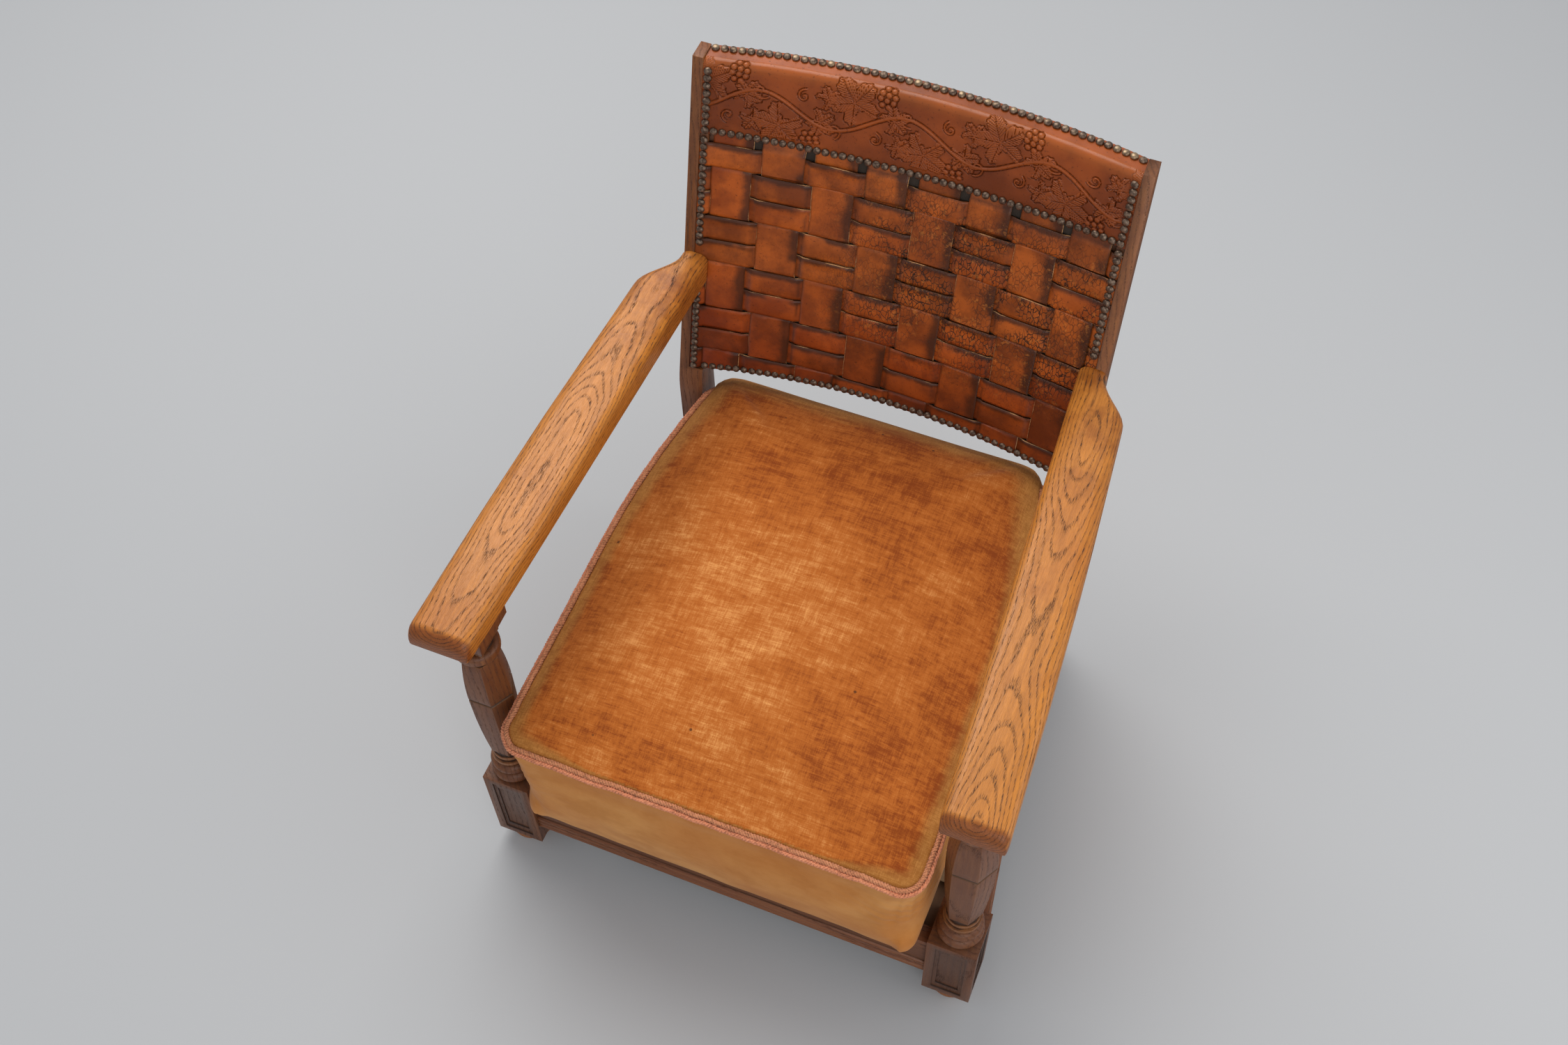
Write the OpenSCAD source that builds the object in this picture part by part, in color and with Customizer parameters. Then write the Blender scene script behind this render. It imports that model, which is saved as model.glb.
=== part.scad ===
// Lounge chair: oak frame with turned front legs, a bowed back of woven leather straps,
// a leather crest and a thick loose cushion with a rope trim.
// Millimetres, Z up, the front faces -Y. Left and right are the sitter's: left is +X.

/* [Seat frame] */
// Distance between the centre lines of the front legs
leg_spread = 615.5; // [600:0.5:660]
// Distance between the outer faces of the rear legs
rear_spread = 551; // [530:1:560]
// Distance from the front of the leg blocks to the front of the rear legs
seat_depth = 533; // [480:1:580]
// Height of the top of the seat rails above the floor
rail_top = 157; // [150:1:170]
// Height of the plain part of a seat rail
rail_h = 83; // [70:1:90]
// Thickness of the seat rails
rail_t = 22; // [18:1:24]
// Setback of the front rail behind the face of the leg blocks
rail_setback = 8; // [5:1:14]
// Setback of the side rails from the outer face of the leg blocks
side_setback = 6; // [5:1:12]
// Setback of the side rails from the outer face of the rear legs
rear_setback = 7.5; // [5:0.5:12]
// Number of reeds in the bead along the foot of a rail
reed_count = 3; // [2:1:4]
// Radius of each reed
reed_r = 4.7; // [4.5:0.1:6]
// How far the reeds stand out from the plain face of a rail
reed_proud = 4; // [2:0.5:4.5]
// How far the bead hangs below the plain part of a rail
bead_drop = 8; // [4:0.5:10]
// Length of the tenons of the seat rails
tenon_len = 18; // [12:1:19]
// Thickness of the tenons
tenon_t = 8; // [6:0.5:9]
// Height of the shoulders above and below the tenons
tenon_shoulder = 15; // [10:1:20]
// Length of a corner brace along its rail
brace_len = 90; // [60:5:120]
// Height of the corner braces
brace_h = 34; // [20:1:45]
// Distance of the corner braces below the top of the rails
brace_drop = 12; // [4:1:20]
// Gap left between the faces of glued and fitted pieces
fit = 0.2; // [0.1:0.05:0.3]

/* [Front legs] */
// Width of the square block of a front leg
block_w = 64.5; // [60:0.5:68]
// Height of the square block
block_h = 156.5; // [152:0.5:165]
// Height of the bun foot
foot_h = 25; // [20:1:32]
// Largest radius of the bun foot
foot_r = 30; // [26:0.5:32]
// Width of the plain border round the sunk panel of a block
panel_border = 12; // [8:0.5:16]
// Depth of the sunk panel
panel_depth = 4; // [2:0.5:6]
// Width of the step inside the panel at its sides
panel_step_w = 5; // [3:0.5:7]
// Width of that step at the head and foot of the panel
panel_step_h = 12; // [6:1:16]
// Radius of the lower turned ring
low_ring_r = 30; // [26:0.5:31]
// Height of the lower turned ring
low_ring_h = 19; // [14:1:22]
// Radius of the upper turned ring
high_ring_r = 28; // [24:0.5:30]
// Height of the upper turned ring
high_ring_h = 18; // [14:1:20]
// Gap between the two turned rings
ring_gap = 2; // [1:0.5:4]
// Height of the fillets above the rings
fillet_h = 6; // [4:0.5:7]
// Height of the necks between the fillets
neck_h = 5; // [3:0.5:6]
// How far the lower fillet stands out from the core
fillet_proud = 4; // [2:0.5:5]
// Radius of the core of the turned part
core_r = 20; // [17:0.5:21]
// Height from the block to the foot of the six-sided shaft
rings_h = 70; // [66:1:80]
// Distance from the axis to a flat of the shaft at its widest
belly_r = 26.7; // [24:0.1:27]
// Height of the widest point of the shaft above the floor
belly_z = 397; // [370:1:420]
// Distance from the axis to a flat at the foot of the shaft
shaft_foot_r = 20.5; // [18:0.5:24]
// Distance from the axis to a flat at the top of the shaft
shaft_top_r = 21; // [18:0.5:24]
// Width of the V groove round the belly
groove_w = 5; // [3:0.5:10]
// Depth of the V groove
groove_depth = 2.5; // [1:0.25:4]
// Radius of the round collar under the capital
collar_r = 28.5; // [25:0.5:30]
// Height of the collar
collar_h = 18; // [12:1:22]
// Height of the neck under the collar
collar_neck = 9; // [6:0.5:12]
// Height of the neck under the capital
capital_neck = 6; // [4:0.5:10]
// Height of the square capital
capital_h = 53; // [45:1:60]
// Height of the straight foot of the capital
capital_foot_h = 3; // [1:0.5:5]
// Height of the flare of the capital
flare_h = 28; // [20:1:34]
// Width of the capital at its foot
capital_foot_w = 42; // [36:1:50]
// Width of the capital under the arm
capital_w = 62; // [56:1:64]
// Radius of the round tenon that enters the arm
leg_tenon_r = 13; // [9:0.5:15]
// Length of that tenon
leg_tenon_len = 20; // [12:1:22]

/* [Arms] */
// Height of the underside of the arm at the front leg
arm_h = 568; // [550:1:590]
// Thickness of the arm at the front
arm_t = 31; // [28:1:36]
// Thickness of the arm at the rear
arm_rear_t = 38; // [30:1:44]
// Rise of the arm from the front leg to the rear leg
arm_rise = 15; // [0:1:30]
// Reach of the arm in front of the leg blocks
arm_reach = 25; // [10:1:34]
// Width of the arm at the front
arm_w = 76.5; // [70:0.5:84]
// Outward offset of the arm from the leg at the front
arm_offset = 5; // [0:0.5:8]
// Width of the arm at its rear shoulder
shoulder_w = 69.5; // [60:0.5:76]
// Outward swell of the outer edge of the arm
arm_swell = 3.5; // [0:0.5:8]
// Length of the curve that narrows the arm to its neck
ogee_len = 64; // [40:1:90]
// How far the neck of the arm stands out beyond the rear leg
neck_over = 2.5; // [0:0.5:5]
// Length of the rounding at the front of the arm
arm_roll = 15; // [8:1:20]
// Drop of that rounding
arm_front_drop = 18; // [8:1:19]
// Width of the rounding along the upper edges of the arm
arm_edge = 13; // [6:0.5:16]
// Drop of that rounding
arm_edge_drop = 9.5; // [4:0.5:10]
// Size of the chamfer along the lower edges of the arm
arm_foot_edge = 1.5; // [0.5:0.5:2.5]
// Radius of the dowel between arm and rear leg
dowel_r = 4; // [3:0.5:5]
// Length of that dowel
dowel_len = 36; // [30:1:38]

/* [Rear legs and back] */
// Height of the rear legs
back_h = 885; // [840:1:940]
// Backward lean of the back in degrees
rake = 14; // [8:0.5:18]
// Height at which the rear legs bend
bend_h = 417; // [405:1:425]
// Width of a rear leg
post_w = 32.5; // [30:0.5:36]
// Depth of a rear leg at the seat
post_depth = 41; // [38:1:48]
// Depth of a rear leg at its top
post_top_depth = 26; // [24:1:34]
// Radius of the bend of the rear legs
bend_r = 150; // [60:10:200]
// Distance of the bend in the rear face below the one in the front face
rear_bend_drop = 10; // [0:1:20]
// Backward splay of the foot of a rear leg
foot_splay = 14; // [0:1:30]
// Height at which that splay starts
splay_h = 58; // [40:1:60]
// Width of the strip of a rear leg left proud beside the leather
strip_w = 13.5; // [12:0.5:15]
// Width of the ledge of a rear leg that the strap ends are nailed to
ledge_w = 10; // [9:0.5:11]
// Rearward bow of the back in its middle
bow = 28; // [15:1:36]
// Thickness of the crest rail and of the lower back rail
back_rail_t = 17; // [14:0.5:17]
// Height of the lower back rail
low_rail_h = 44; // [36:1:60]
// Rise of the lower edge of the back in its middle
arch = 13; // [5:0.5:18]
// Gap between the rope trim at the rear and the lower edge of the back at its sides
back_gap = 30.2; // [26:0.2:36]
// Length of the tenons of both back rails
back_tenon_len = 12; // [8:1:14]
// Thickness of those tenons
back_tenon_t = 7; // [5:0.5:9]
// Width of the shoulder in front of those tenons
back_tenon_in = 3; // [2:0.5:5]
// Height of the tenons of the crest rail
crest_tenon_h = 40; // [24:1:50]
// Height of the tenons of the lower back rail
low_tenon_h = 24; // [16:1:28]
// Thickness of the lining cloth behind the straps
lining_t = 1; // [0.8:0.1:1.6]
// Thickness of the outside back
outback_t = 1.2; // [0.8:0.1:2]

/* [Crest] */
// Height of the leather crest
crest_h = 94; // [80:1:110]
// How far the crest stays below the tops of the rear legs
crest_drop = 2; // [0:0.5:5]
// Depth of the top of the crest
crest_depth = 27; // [26:0.5:34]
// Radius of the front edge of the crest
crest_round = 8; // [7:0.5:12]
// Thickness of the crest leather
leather_t = 2; // [1.4:0.1:2]
// Length of the crest rail below the leather
crest_rail_drop = 20; // [10:1:30]
// Distance of the stuffing above the lower edge of the leather
pad_lift = 14; // [12:1:20]

/* [Weave] */
// Number of upright straps
columns = 8; // [6:1:9]
// Number of level straps
rows = 10; // [6:2:12]
// Thickness of a strap
strap_t = 2.2; // [1.6:0.1:2.4]
// Gap between upright straps
column_gap = 12; // [11:0.5:16]
// Gap between level straps
row_gap = 3.6; // [3.6:0.1:6]
// Bare stretch of the upright straps between the crest and the first level strap
top_gap = 9; // [6:0.5:16]
// Length of the strap ends tucked behind the crest
strap_tuck = 12; // [8:1:16]
// Gap between the outermost upright straps and the ledges
edge_gap = 6; // [4:0.5:8]

/* [Nails] */
// Radius of a nail head
nail_r = 4.75; // [3.5:0.25:5]
// Height of a nail head
nail_dome = 3; // [2:0.25:4]
// Distance between nails in a level row
nail_pitch = 10.3; // [10.2:0.1:14]
// Distance between nails up the sides
side_nail_pitch = 9.8; // [9.6:0.1:14]
// Distance between a nail head and the edge of the leather beside it
nail_inset = 1.5; // [1:0.1:3]
// Distance between a nail head and the edge of the leather below or behind it
nail_lift = 0.7; // [0.3:0.1:2]

/* [Seat webbing] */
// Thickness of the webbing
web_t = 1.6; // [1:0.1:2]
// Width of the webbing
web_w = 50; // [40:1:56]
// Number of bands each way
web_count = 5; // [4:1:6]
// Length of the ends tacked to the rails
web_tack = 12; // [8:1:16]
// Gap between the ends and the outer faces of the rails
web_inset = 4; // [2:0.5:6]
// Gap between the outermost bands and the frame beside them
web_side_gap = 10; // [6:1:16]

/* [Cushion] */
// Diameter of the rope trim
cord_d = 12; // [8:0.5:14]
// Height of the trim above the floor at the front
cord_z = 393; // [360:1:410]
// Rise of the trim from front to rear
cord_rise = 15; // [0:1:20]
// Height of the crown above the trim
crown_h = 38; // [20:1:44]
// Overhang of the trim in front of the leg blocks
cushion_over = 34; // [28:1:60]
// Reach of the trim behind the front of the rear legs
cushion_tail = 57; // [45:1:60]
// Gap between the trim and the widest part of the front legs
cushion_gap = 3.9; // [2:0.1:8]
// Gap between the trim and the rear legs
tail_gap = 1.8; // [1:0.1:6]
// Place along the depth where the cushion starts to narrow
taper_start = 250; // [150:5:300]
// Radius of the front corners of the cushion
front_corner_r = 30; // [20:1:50]
// Radius of the rear corners of the cushion
rear_corner_r = 34; // [20:1:50]
// How far the bottom of the cushion stays behind its upper edge, front and rear
batter = 27; // [10:1:36]
// How far the walls are drawn in between the corners
waist = 5; // [0:0.5:12]
// Thickness of the cushion cover
cover_t = 3; // [2:0.5:4]
// Thickness of the felt pad under the springs
low_pad_t = 25; // [15:1:35]
// Depth of the stuffing below the trim
top_pad_depth = 22; // [15:1:35]
// Radius of the round foot of the cushion's walls
foot_round = 12; // [6:1:16]
// Gap between the walls and the outline of the trim
wall_gap = 2; // [1:0.5:4]
// Distance between the outermost springs' room and the trim
spring_margin = 50; // [30:5:60]
// Number of coil springs each way
spring_count = 4; // [3:1:4]
// Radius of the ends of a coil spring
spring_r = 42; // [30:1:48]
// Radius of a coil spring at its waist
spring_waist_r = 28; // [20:1:30]
// Thickness of the spring wire
wire_t = 4; // [3:0.25:5]
// Turns of a coil spring
spring_turns = 3; // [2:0.5:4]
// Gap under the cushion and round loose soft pieces
loose_gap = 0.3; // [0.3:0.05:0.6]

/* [Hidden] */
$fn = 64;
// Sides drawn on the very large circles of the bow and the arch
arc_steps = 720;
// Overlap of joined shapes, and reach of cuts beyond the face they cut
over = 1;
// Least length of rear leg between its bend and the lower edge of the back
bend_margin = 12;
// Extra depth of the ledges that the strap ends lie on
ledge_play = 0.5;
// Length over which a level strap stays flat beyond the edge of an upright one
strap_flat = 1;
// Distance below the crest at which the upright straps turn behind it
strap_dip = 2;

oak = [0.66, 0.44, 0.24];
dark_oak = [0.42, 0.28, 0.2];
cognac = [0.6, 0.33, 0.16];
crest_brown = [0.56, 0.28, 0.16];
nail_bronze = [0.26, 0.22, 0.18];
jute = [0.55, 0.46, 0.33];
velvet = [0.65, 0.4, 0.18];
rope_pink = [0.74, 0.46, 0.34];
steel = [0.5, 0.5, 0.5];

// Places that follow from the sizes above
leg_x = leg_spread / 2;
leg_y = block_w / 2;
block_top = foot_h + block_h;
post_outer = rear_spread / 2;
post_inner = post_outer - post_w;
panel_half = post_outer - strip_w;
pocket_half = panel_half - ledge_w;
lean = tan(rake);
post_y = seat_depth;
rear_rail_y = post_y + post_depth - rail_t;
crest_top = back_h - crest_drop;
crest_bottom = crest_top - crest_h;

// The bow is an arc through the faces of both rear legs. Depths are counted back from it.
bow_r = (panel_half * panel_half + bow * bow) / (2 * bow);
function bow_at(x) = sqrt(bow_r * bow_r - x * x) - (bow_r - bow);

// Weave: level and upright straps swing this far before and behind their middle
swing = strap_t / 2 + fit * 0.75;
weave_mid = loose_gap + swing + strap_t / 2;
column_pitch = 2 * (pocket_half + ledge_w / 2 - over) / columns;
column_w = column_pitch - column_gap;
column_turn = column_pitch / bow_r * 180 / PI;
flat_sag = column_w * column_w / 8 / bow_r;
lining_depth = weave_mid + swing + strap_t / 2 + flat_sag + loose_gap;
rail_depth = lining_depth + lining_t + fit;
pad_t = rail_depth - leather_t - 2 * fit;
crest_start = (crest_bottom - bend_h) / cos(rake);
trim_top = cord_z + cord_rise + cord_d / 2;
panel_start = max(bend_margin, (trim_top + back_gap - bend_h) / cos(rake));
weave_end = crest_start - fit;
row_pitch = (weave_end - top_gap - panel_start) / rows;
strap_end = weave_end + strap_tuck;
edge_x = pocket_half - edge_gap;

arch_r = (panel_half * panel_half + arch * arch) / (2 * arch);
arch_top = panel_start + arch;

web_z = rail_top;
web_swing = web_t / 2 + fit / 2;
cushion_z = web_z + 2 * web_swing + web_t + loose_gap;
cord_r = cord_d / 2;
side_half = leg_x - max(belly_r / cos(30), low_ring_r) - cushion_gap - cord_r;
tail_half = post_inner - tail_gap - cord_r;
cushion_front = -cushion_over;
cushion_rear = post_y + cushion_tail;
cushion_mid = (cushion_front + cushion_rear) / 2;

front_reach = cushion_front - cord_r;
rear_reach = post_y + (crest_top - bend_h) * lean + bow / cos(rake) + crest_depth;
middle_y = (front_reach + rear_reach) / 2;

// The chair is built from the front of its leg blocks and then centred over its box
module centred() {
    translate([0, -middle_y, 0]) children();
}

// Frame of the leaning back: Z runs up the lean and Y is the depth behind the post faces
module leaning() {
    translate([0, post_y, bend_h]) rotate([-rake, 0, 0]) children();
}

// Place on the bow: turned to its face, depth 0 on the arc
module on_bow(turn) {
    translate([0, bow - bow_r, 0]) rotate([0, 0, -turn]) translate([0, bow_r, 0]) children();
}

// Flat sector of the bow between two depths and two sides
module bow_sector(near, far, half) {
    intersection() {
        translate([0, bow - bow_r]) difference() {
            circle(r = bow_r + far, $fn = arc_steps);
            circle(r = bow_r + near, $fn = arc_steps);
        }
        translate([-half, -bow]) square([2 * half, 3 * bow + far]);
    }
}

// Cut that gives the lower edge of the back its arch
module arch_cut(rise) {
    translate([0, -2 * bow, arch_top + rise - arch_r])
        rotate([-90, 0, 0]) cylinder(r = arch_r, h = 6 * bow, $fn = arc_steps);
}

// Front leg
function shaft_foot() = block_top + rings_h;
function shaft_top() = arm_h - capital_h - capital_neck - collar_h - collar_neck;
function shaft_curve(z) = z < belly_z
    ? belly_r - (belly_r - shaft_foot_r) * pow((belly_z - z) / (belly_z - shaft_foot()), 2)
    : belly_r - (belly_r - shaft_top_r) * pow((z - belly_z) / (shaft_top() - belly_z), 2);
function groove_cut(z) = max(0, groove_depth * (1 - abs(z - belly_z) * 2 / groove_w));
function shaft_flat(z) = shaft_curve(z) - groove_cut(z);
function span(low, high, count) = [for (i = [0 : count]) low + (high - low) * i / count];
function shaft_levels() = concat(
    span(shaft_foot(), belly_z - groove_w / 2, 9),
    [belly_z],
    span(belly_z + groove_w / 2, shaft_top(), 6)
);

module shaft_slab() {
    levels = shaft_levels();
    last = len(levels) - 1;
    near = [for (z = levels) [shaft_flat(z), z]];
    far = [for (i = [0 : last]) [-shaft_flat(levels[last - i]), levels[last - i]]];
    rotate([90, 0, 90]) translate([0, 0, -2 * belly_r])
        linear_extrude(4 * belly_r) polygon(concat(near, far));
}

module shaft() {
    intersection() {
        shaft_slab();
        rotate([0, 0, 60]) shaft_slab();
        rotate([0, 0, 120]) shaft_slab();
    }
}

module turned_ring(radius, height) {
    bulge = height / 2;
    rotate_extrude() {
        square([radius - bulge, height]);
        translate([radius - bulge, bulge]) circle(r = bulge);
    }
}

module turned_part() {
    high_ring_z = low_ring_h + ring_gap;
    fillet_z = high_ring_z + high_ring_h + neck_h;
    translate([0, 0, block_top]) {
        cylinder(r = core_r, h = rings_h);
        turned_ring(low_ring_r, low_ring_h);
        translate([0, 0, high_ring_z]) turned_ring(high_ring_r, high_ring_h);
        translate([0, 0, fillet_z]) cylinder(r = core_r + fillet_proud, h = fillet_h);
        translate([0, 0, fillet_z + fillet_h + neck_h])
            cylinder(r = core_r + fillet_proud / 2, h = fillet_h);
    }
}

module sunk_panel() {
    step = panel_depth / 2;
    outer_w = block_w - 2 * panel_border;
    outer_z = foot_h + panel_border;
    outer_h = block_h - 2 * panel_border;
    inner_w = outer_w - 2 * panel_step_w;
    inner_h = outer_h - 2 * panel_step_h;
    translate([-outer_w / 2, -over, outer_z]) cube([outer_w, over + step, outer_h]);
    translate([-inner_w / 2, -over, outer_z + panel_step_h]) cube([inner_w, over + panel_depth, inner_h]);
}

module collar() {
    edge = collar_h / 3;
    rotate_extrude() {
        square([collar_r - edge, collar_h]);
        translate([0, edge]) square([collar_r, collar_h - 2 * edge]);
        translate([collar_r - edge, edge]) circle(r = edge);
        translate([collar_r - edge, collar_h - edge]) circle(r = edge);
    }
}

module capital_slab() {
    foot = capital_foot_w / 2;
    head = capital_w / 2;
    rotate([90, 0, 0]) translate([0, 0, -capital_w]) linear_extrude(2 * capital_w) polygon([
        [-foot, 0], [foot, 0], [foot, capital_foot_h], [head, flare_h], [head, capital_h + arm_rise],
        [-head, capital_h + arm_rise], [-head, flare_h], [-foot, capital_foot_h]
    ]);
}

module above_arm_underside(lift) {
    tilt = atan(arm_rise / (post_y - leg_y));
    translate([0, leg_y, arm_h + lift]) rotate([tilt, 0, 0])
        translate([-leg_spread, -post_y, 0]) cube([2 * leg_spread, 3 * post_y, 3 * arm_t]);
}

module front_leg() {
    color(dark_oak) difference() {
        translate([leg_x, leg_y, 0]) {
            turned_ring(foot_r, foot_h);
            difference() {
                translate([-block_w / 2, -block_w / 2, foot_h]) cube([block_w, block_w, block_h]);
                for (turn = [0, 90]) rotate([0, 0, turn]) translate([0, -block_w / 2, 0]) sunk_panel();
            }
            turned_part();
            shaft();
            translate([0, 0, shaft_top() - over])
                cylinder(r = core_r, h = collar_neck + collar_h + capital_neck + 2 * over);
            translate([0, 0, shaft_top() + collar_neck]) collar();
            difference() {
                translate([0, 0, arm_h - capital_h]) intersection() {
                    capital_slab();
                    rotate([0, 0, 90]) capital_slab();
                }
                translate([-leg_x, -leg_y, 0]) above_arm_underside(0);
            }
            translate([0, 0, arm_h - capital_foot_h])
                cylinder(r = leg_tenon_r, h = capital_foot_h + leg_tenon_len);
        }
        front_rail_tenon(fit);
        side_rail_tenons(fit);
    }
}

// Seat rails
module rail_section() {
    translate([-rail_t, 0]) square([rail_t, rail_h]);
    translate([-rail_t, reed_r / 2 - bead_drop])
        square([rail_t + reed_proud - reed_r, (2 * reed_count - 1) * reed_r]);
    for (i = [0 : reed_count - 1]) {
        translate([reed_proud - reed_r, (2 * i + 1) * reed_r - bead_drop]) circle(r = reed_r);
    }
}

rail_foot = rail_top - rail_h;
tenon_h = rail_h - 2 * tenon_shoulder;

module front_rail_tenon(gap) {
    inner = leg_x - block_w / 2;
    translate([inner - over, rail_setback + (rail_t - tenon_t) / 2 - gap, rail_foot + tenon_shoulder - gap])
        cube([over + tenon_len + gap, tenon_t + 2 * gap, tenon_h + 2 * gap]);
}

module front_rail() {
    half = leg_x - block_w / 2;
    color(dark_oak) {
        translate([-half, rail_setback, rail_foot]) rotate([90, 0, 90])
            linear_extrude(2 * half) mirror([1, 0]) rail_section();
        front_rail_tenon(0);
        mirror([1, 0, 0]) front_rail_tenon(0);
    }
}

side_front_x = leg_x + block_w / 2 - side_setback;
side_rear_x = post_outer - rear_setback;
side_turn = atan((side_front_x - side_rear_x) / (post_y - block_w));
function side_x(y) = side_front_x - (y - block_w) * tan(side_turn);
side_w = rail_t / cos(side_turn);

module side_rail_tenons(gap) {
    low = rail_foot + tenon_shoulder - gap;
    front_x = side_x(block_w) - (side_w + tenon_t) / 2 - gap;
    rear_x = side_x(post_y) - (side_w + tenon_t) / 2 - gap;
    size = [tenon_t + 2 * gap, over + tenon_len + gap, tenon_h + 2 * gap];
    translate([front_x, block_w - tenon_len - gap, low]) cube(size);
    translate([rear_x, post_y - over, low]) cube(size);
}

module side_rail() {
    run = post_y - block_w;
    color(dark_oak) {
        intersection() {
            translate([side_front_x, block_w, rail_foot]) rotate([0, 0, side_turn])
                translate([0, 2 * run, 0]) rotate([90, 0, 0]) linear_extrude(3 * run) rail_section();
            translate([0, block_w, 0]) cube([leg_spread, run, back_h]);
        }
        side_rail_tenons(0);
    }
}

module rear_rail_tenon(gap) {
    translate([post_inner - over, rear_rail_y + (rail_t - tenon_t) / 2 - gap, rail_foot + tenon_shoulder - gap])
        cube([over + tenon_len + gap, tenon_t + 2 * gap, tenon_h + 2 * gap]);
}

module rear_rail() {
    color(dark_oak) {
        translate([-post_inner, rear_rail_y, rail_foot]) cube([2 * post_inner, rail_t, rail_h]);
        rear_rail_tenon(0);
        mirror([1, 0, 0]) rear_rail_tenon(0);
    }
}

brace_z = rail_top - brace_h - brace_drop;

module brace(outline) {
    color(oak) translate([0, 0, brace_z]) linear_extrude(brace_h) polygon(outline);
}

module front_brace() {
    corner_x = leg_x - block_w / 2 - fit;
    rail_y = rail_setback + rail_t + fit;
    back_y = block_w + fit;
    end_y = back_y + brace_len;
    brace([
        [corner_x - brace_len, rail_y], [corner_x, rail_y], [corner_x, back_y],
        [side_x(back_y) - side_w - fit, back_y], [side_x(end_y) - side_w - fit, end_y]
    ]);
}

module rear_brace() {
    corner_x = post_inner - fit;
    rail_y = rear_rail_y - fit;
    front_y = post_y - fit;
    end_y = front_y - brace_len;
    side_end = min(corner_x, side_x(front_y) - side_w - fit);
    brace([
        [corner_x - brace_len, rail_y], [side_end, rail_y],
        [side_end, front_y], [side_x(end_y) - side_w - fit, end_y]
    ]);
}

// Rear leg
function bend_arc() = [
    for (a = [0 : rake / 4 : rake])
    [bend_r * (1 - cos(a)), bend_h + bend_r * (sin(a) - tan(rake / 2))]
];

module rear_leg() {
    top_y = (back_h - bend_h) * lean;
    inner_drop = leather_t + pad_t + 3 * fit;
    color(dark_oak) difference() {
        translate([post_inner, post_y, 0]) rotate([90, 0, 90]) linear_extrude(post_w) polygon(concat(
            [[foot_splay, 0], [0, splay_h]],
            bend_arc(),
            [[top_y, back_h], [top_y + post_top_depth, back_h], [post_depth, bend_h - rear_bend_drop]],
            [[post_depth, splay_h], [post_depth + foot_splay, 0]]
        ));
        leaning() {
            translate([post_inner - over, -over, panel_start - fit])
                cube([pocket_half - post_inner + over, over + pocket_depth(), crest_start - panel_start]);
            translate([post_inner - over, -over, panel_start - fit])
                cube([panel_half - post_inner + over, over + ledge_depth, crest_start - panel_start]);
            translate([post_inner - over, -over, crest_start - 2 * fit])
                cube([panel_half - post_inner + over, over + bow_at(post_inner) + rail_depth, crest_h * 2]);
            crest_tenon(fit);
            low_rail_tenon(fit);
        }
        translate([post_inner - over, 0, crest_top - inner_drop])
            cube([panel_half - post_inner + over, 2 * post_y, crest_h]);
        side_rail_tenons(fit);
        rear_rail_tenon(fit);
        dowel(fit / 2);
    }
}

ledge_depth = strap_t + loose_gap + ledge_play;
function pocket_depth() = bow_at(post_inner) + weave_mid + swing + strap_t / 2 + loose_gap;

// Arm
function arm_under(y) = arm_h + (y - leg_y) * arm_rise / (post_y - leg_y);
arm_end = post_y + (arm_h + arm_rise + arm_rear_t / 2 - bend_h) * lean;
function arm_over(y) = arm_under(y) + arm_t + (arm_rear_t - arm_t) * max(0, y) / arm_end;
arm_front_in = leg_x + arm_offset - arm_w / 2;
arm_front_out = leg_x + arm_offset + arm_w / 2;
shoulder_y = arm_end - ogee_len;
neck_out = post_outer + neck_over;
function arm_in(y) = arm_front_in + (post_inner - arm_front_in) * y / arm_end;
shoulder_out = arm_in(shoulder_y) + shoulder_w;
function swell_out(y) =
    let (t = y / shoulder_y)
    arm_front_out + (shoulder_out - arm_front_out) * t + arm_swell * 4 * t * (1 - t);
function ogee_out(y) =
    let (t = min(1, (y - shoulder_y) / ogee_len))
    neck_out + (shoulder_out - neck_out) * (1 + cos(180 * t)) / 2;
function arm_out(y) = y < shoulder_y ? swell_out(y) : ogee_out(y);

function roll_drop(y) =
    let (t = min(1, (y + arm_reach) / arm_roll))
    arm_front_drop * (1 - sqrt(1 - (1 - t) * (1 - t)));

// Section of the arm at one place along its length, with its upper edges rounded
function arm_ring(y) =
    let (
        low = arm_under(y),
        high = arm_over(y) - roll_drop(y),
        left = arm_in(y) + roll_drop(y) / 8,
        right = arm_out(y) - roll_drop(y) / 8
    )
    concat(
        [for (a = [0 : 18 : 90]) [right - arm_edge * (1 - cos(a)), y, high - arm_edge_drop * (1 - sin(a))]],
        [for (a = [90 : 18 : 180]) [left + arm_edge * (1 + cos(a)), y, high - arm_edge_drop * (1 - sin(a))]],
        [[left, y, low + arm_foot_edge], [left + arm_foot_edge, y, low]],
        [[right - arm_foot_edge, y, low], [right, y, low + arm_foot_edge]]
    );

arm_stations = concat(
    [for (a = [0 : 18 : 90]) -arm_reach + arm_roll * (1 - cos(a))],
    span(0, shoulder_y, 7),
    [for (i = [1 : 9]) shoulder_y + ogee_len * i / 9],
    [arm_end + arm_rear_t]
);

// Skin over a row of equal closed rings, closed at both ends. A fan closes an end from its centre.
function mean(list) = list * [for (v = list) 1] / len(list);
function ring_centre(ring) = [for (i = [0 : 2]) mean([for (p = ring) p[i]])];

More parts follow.
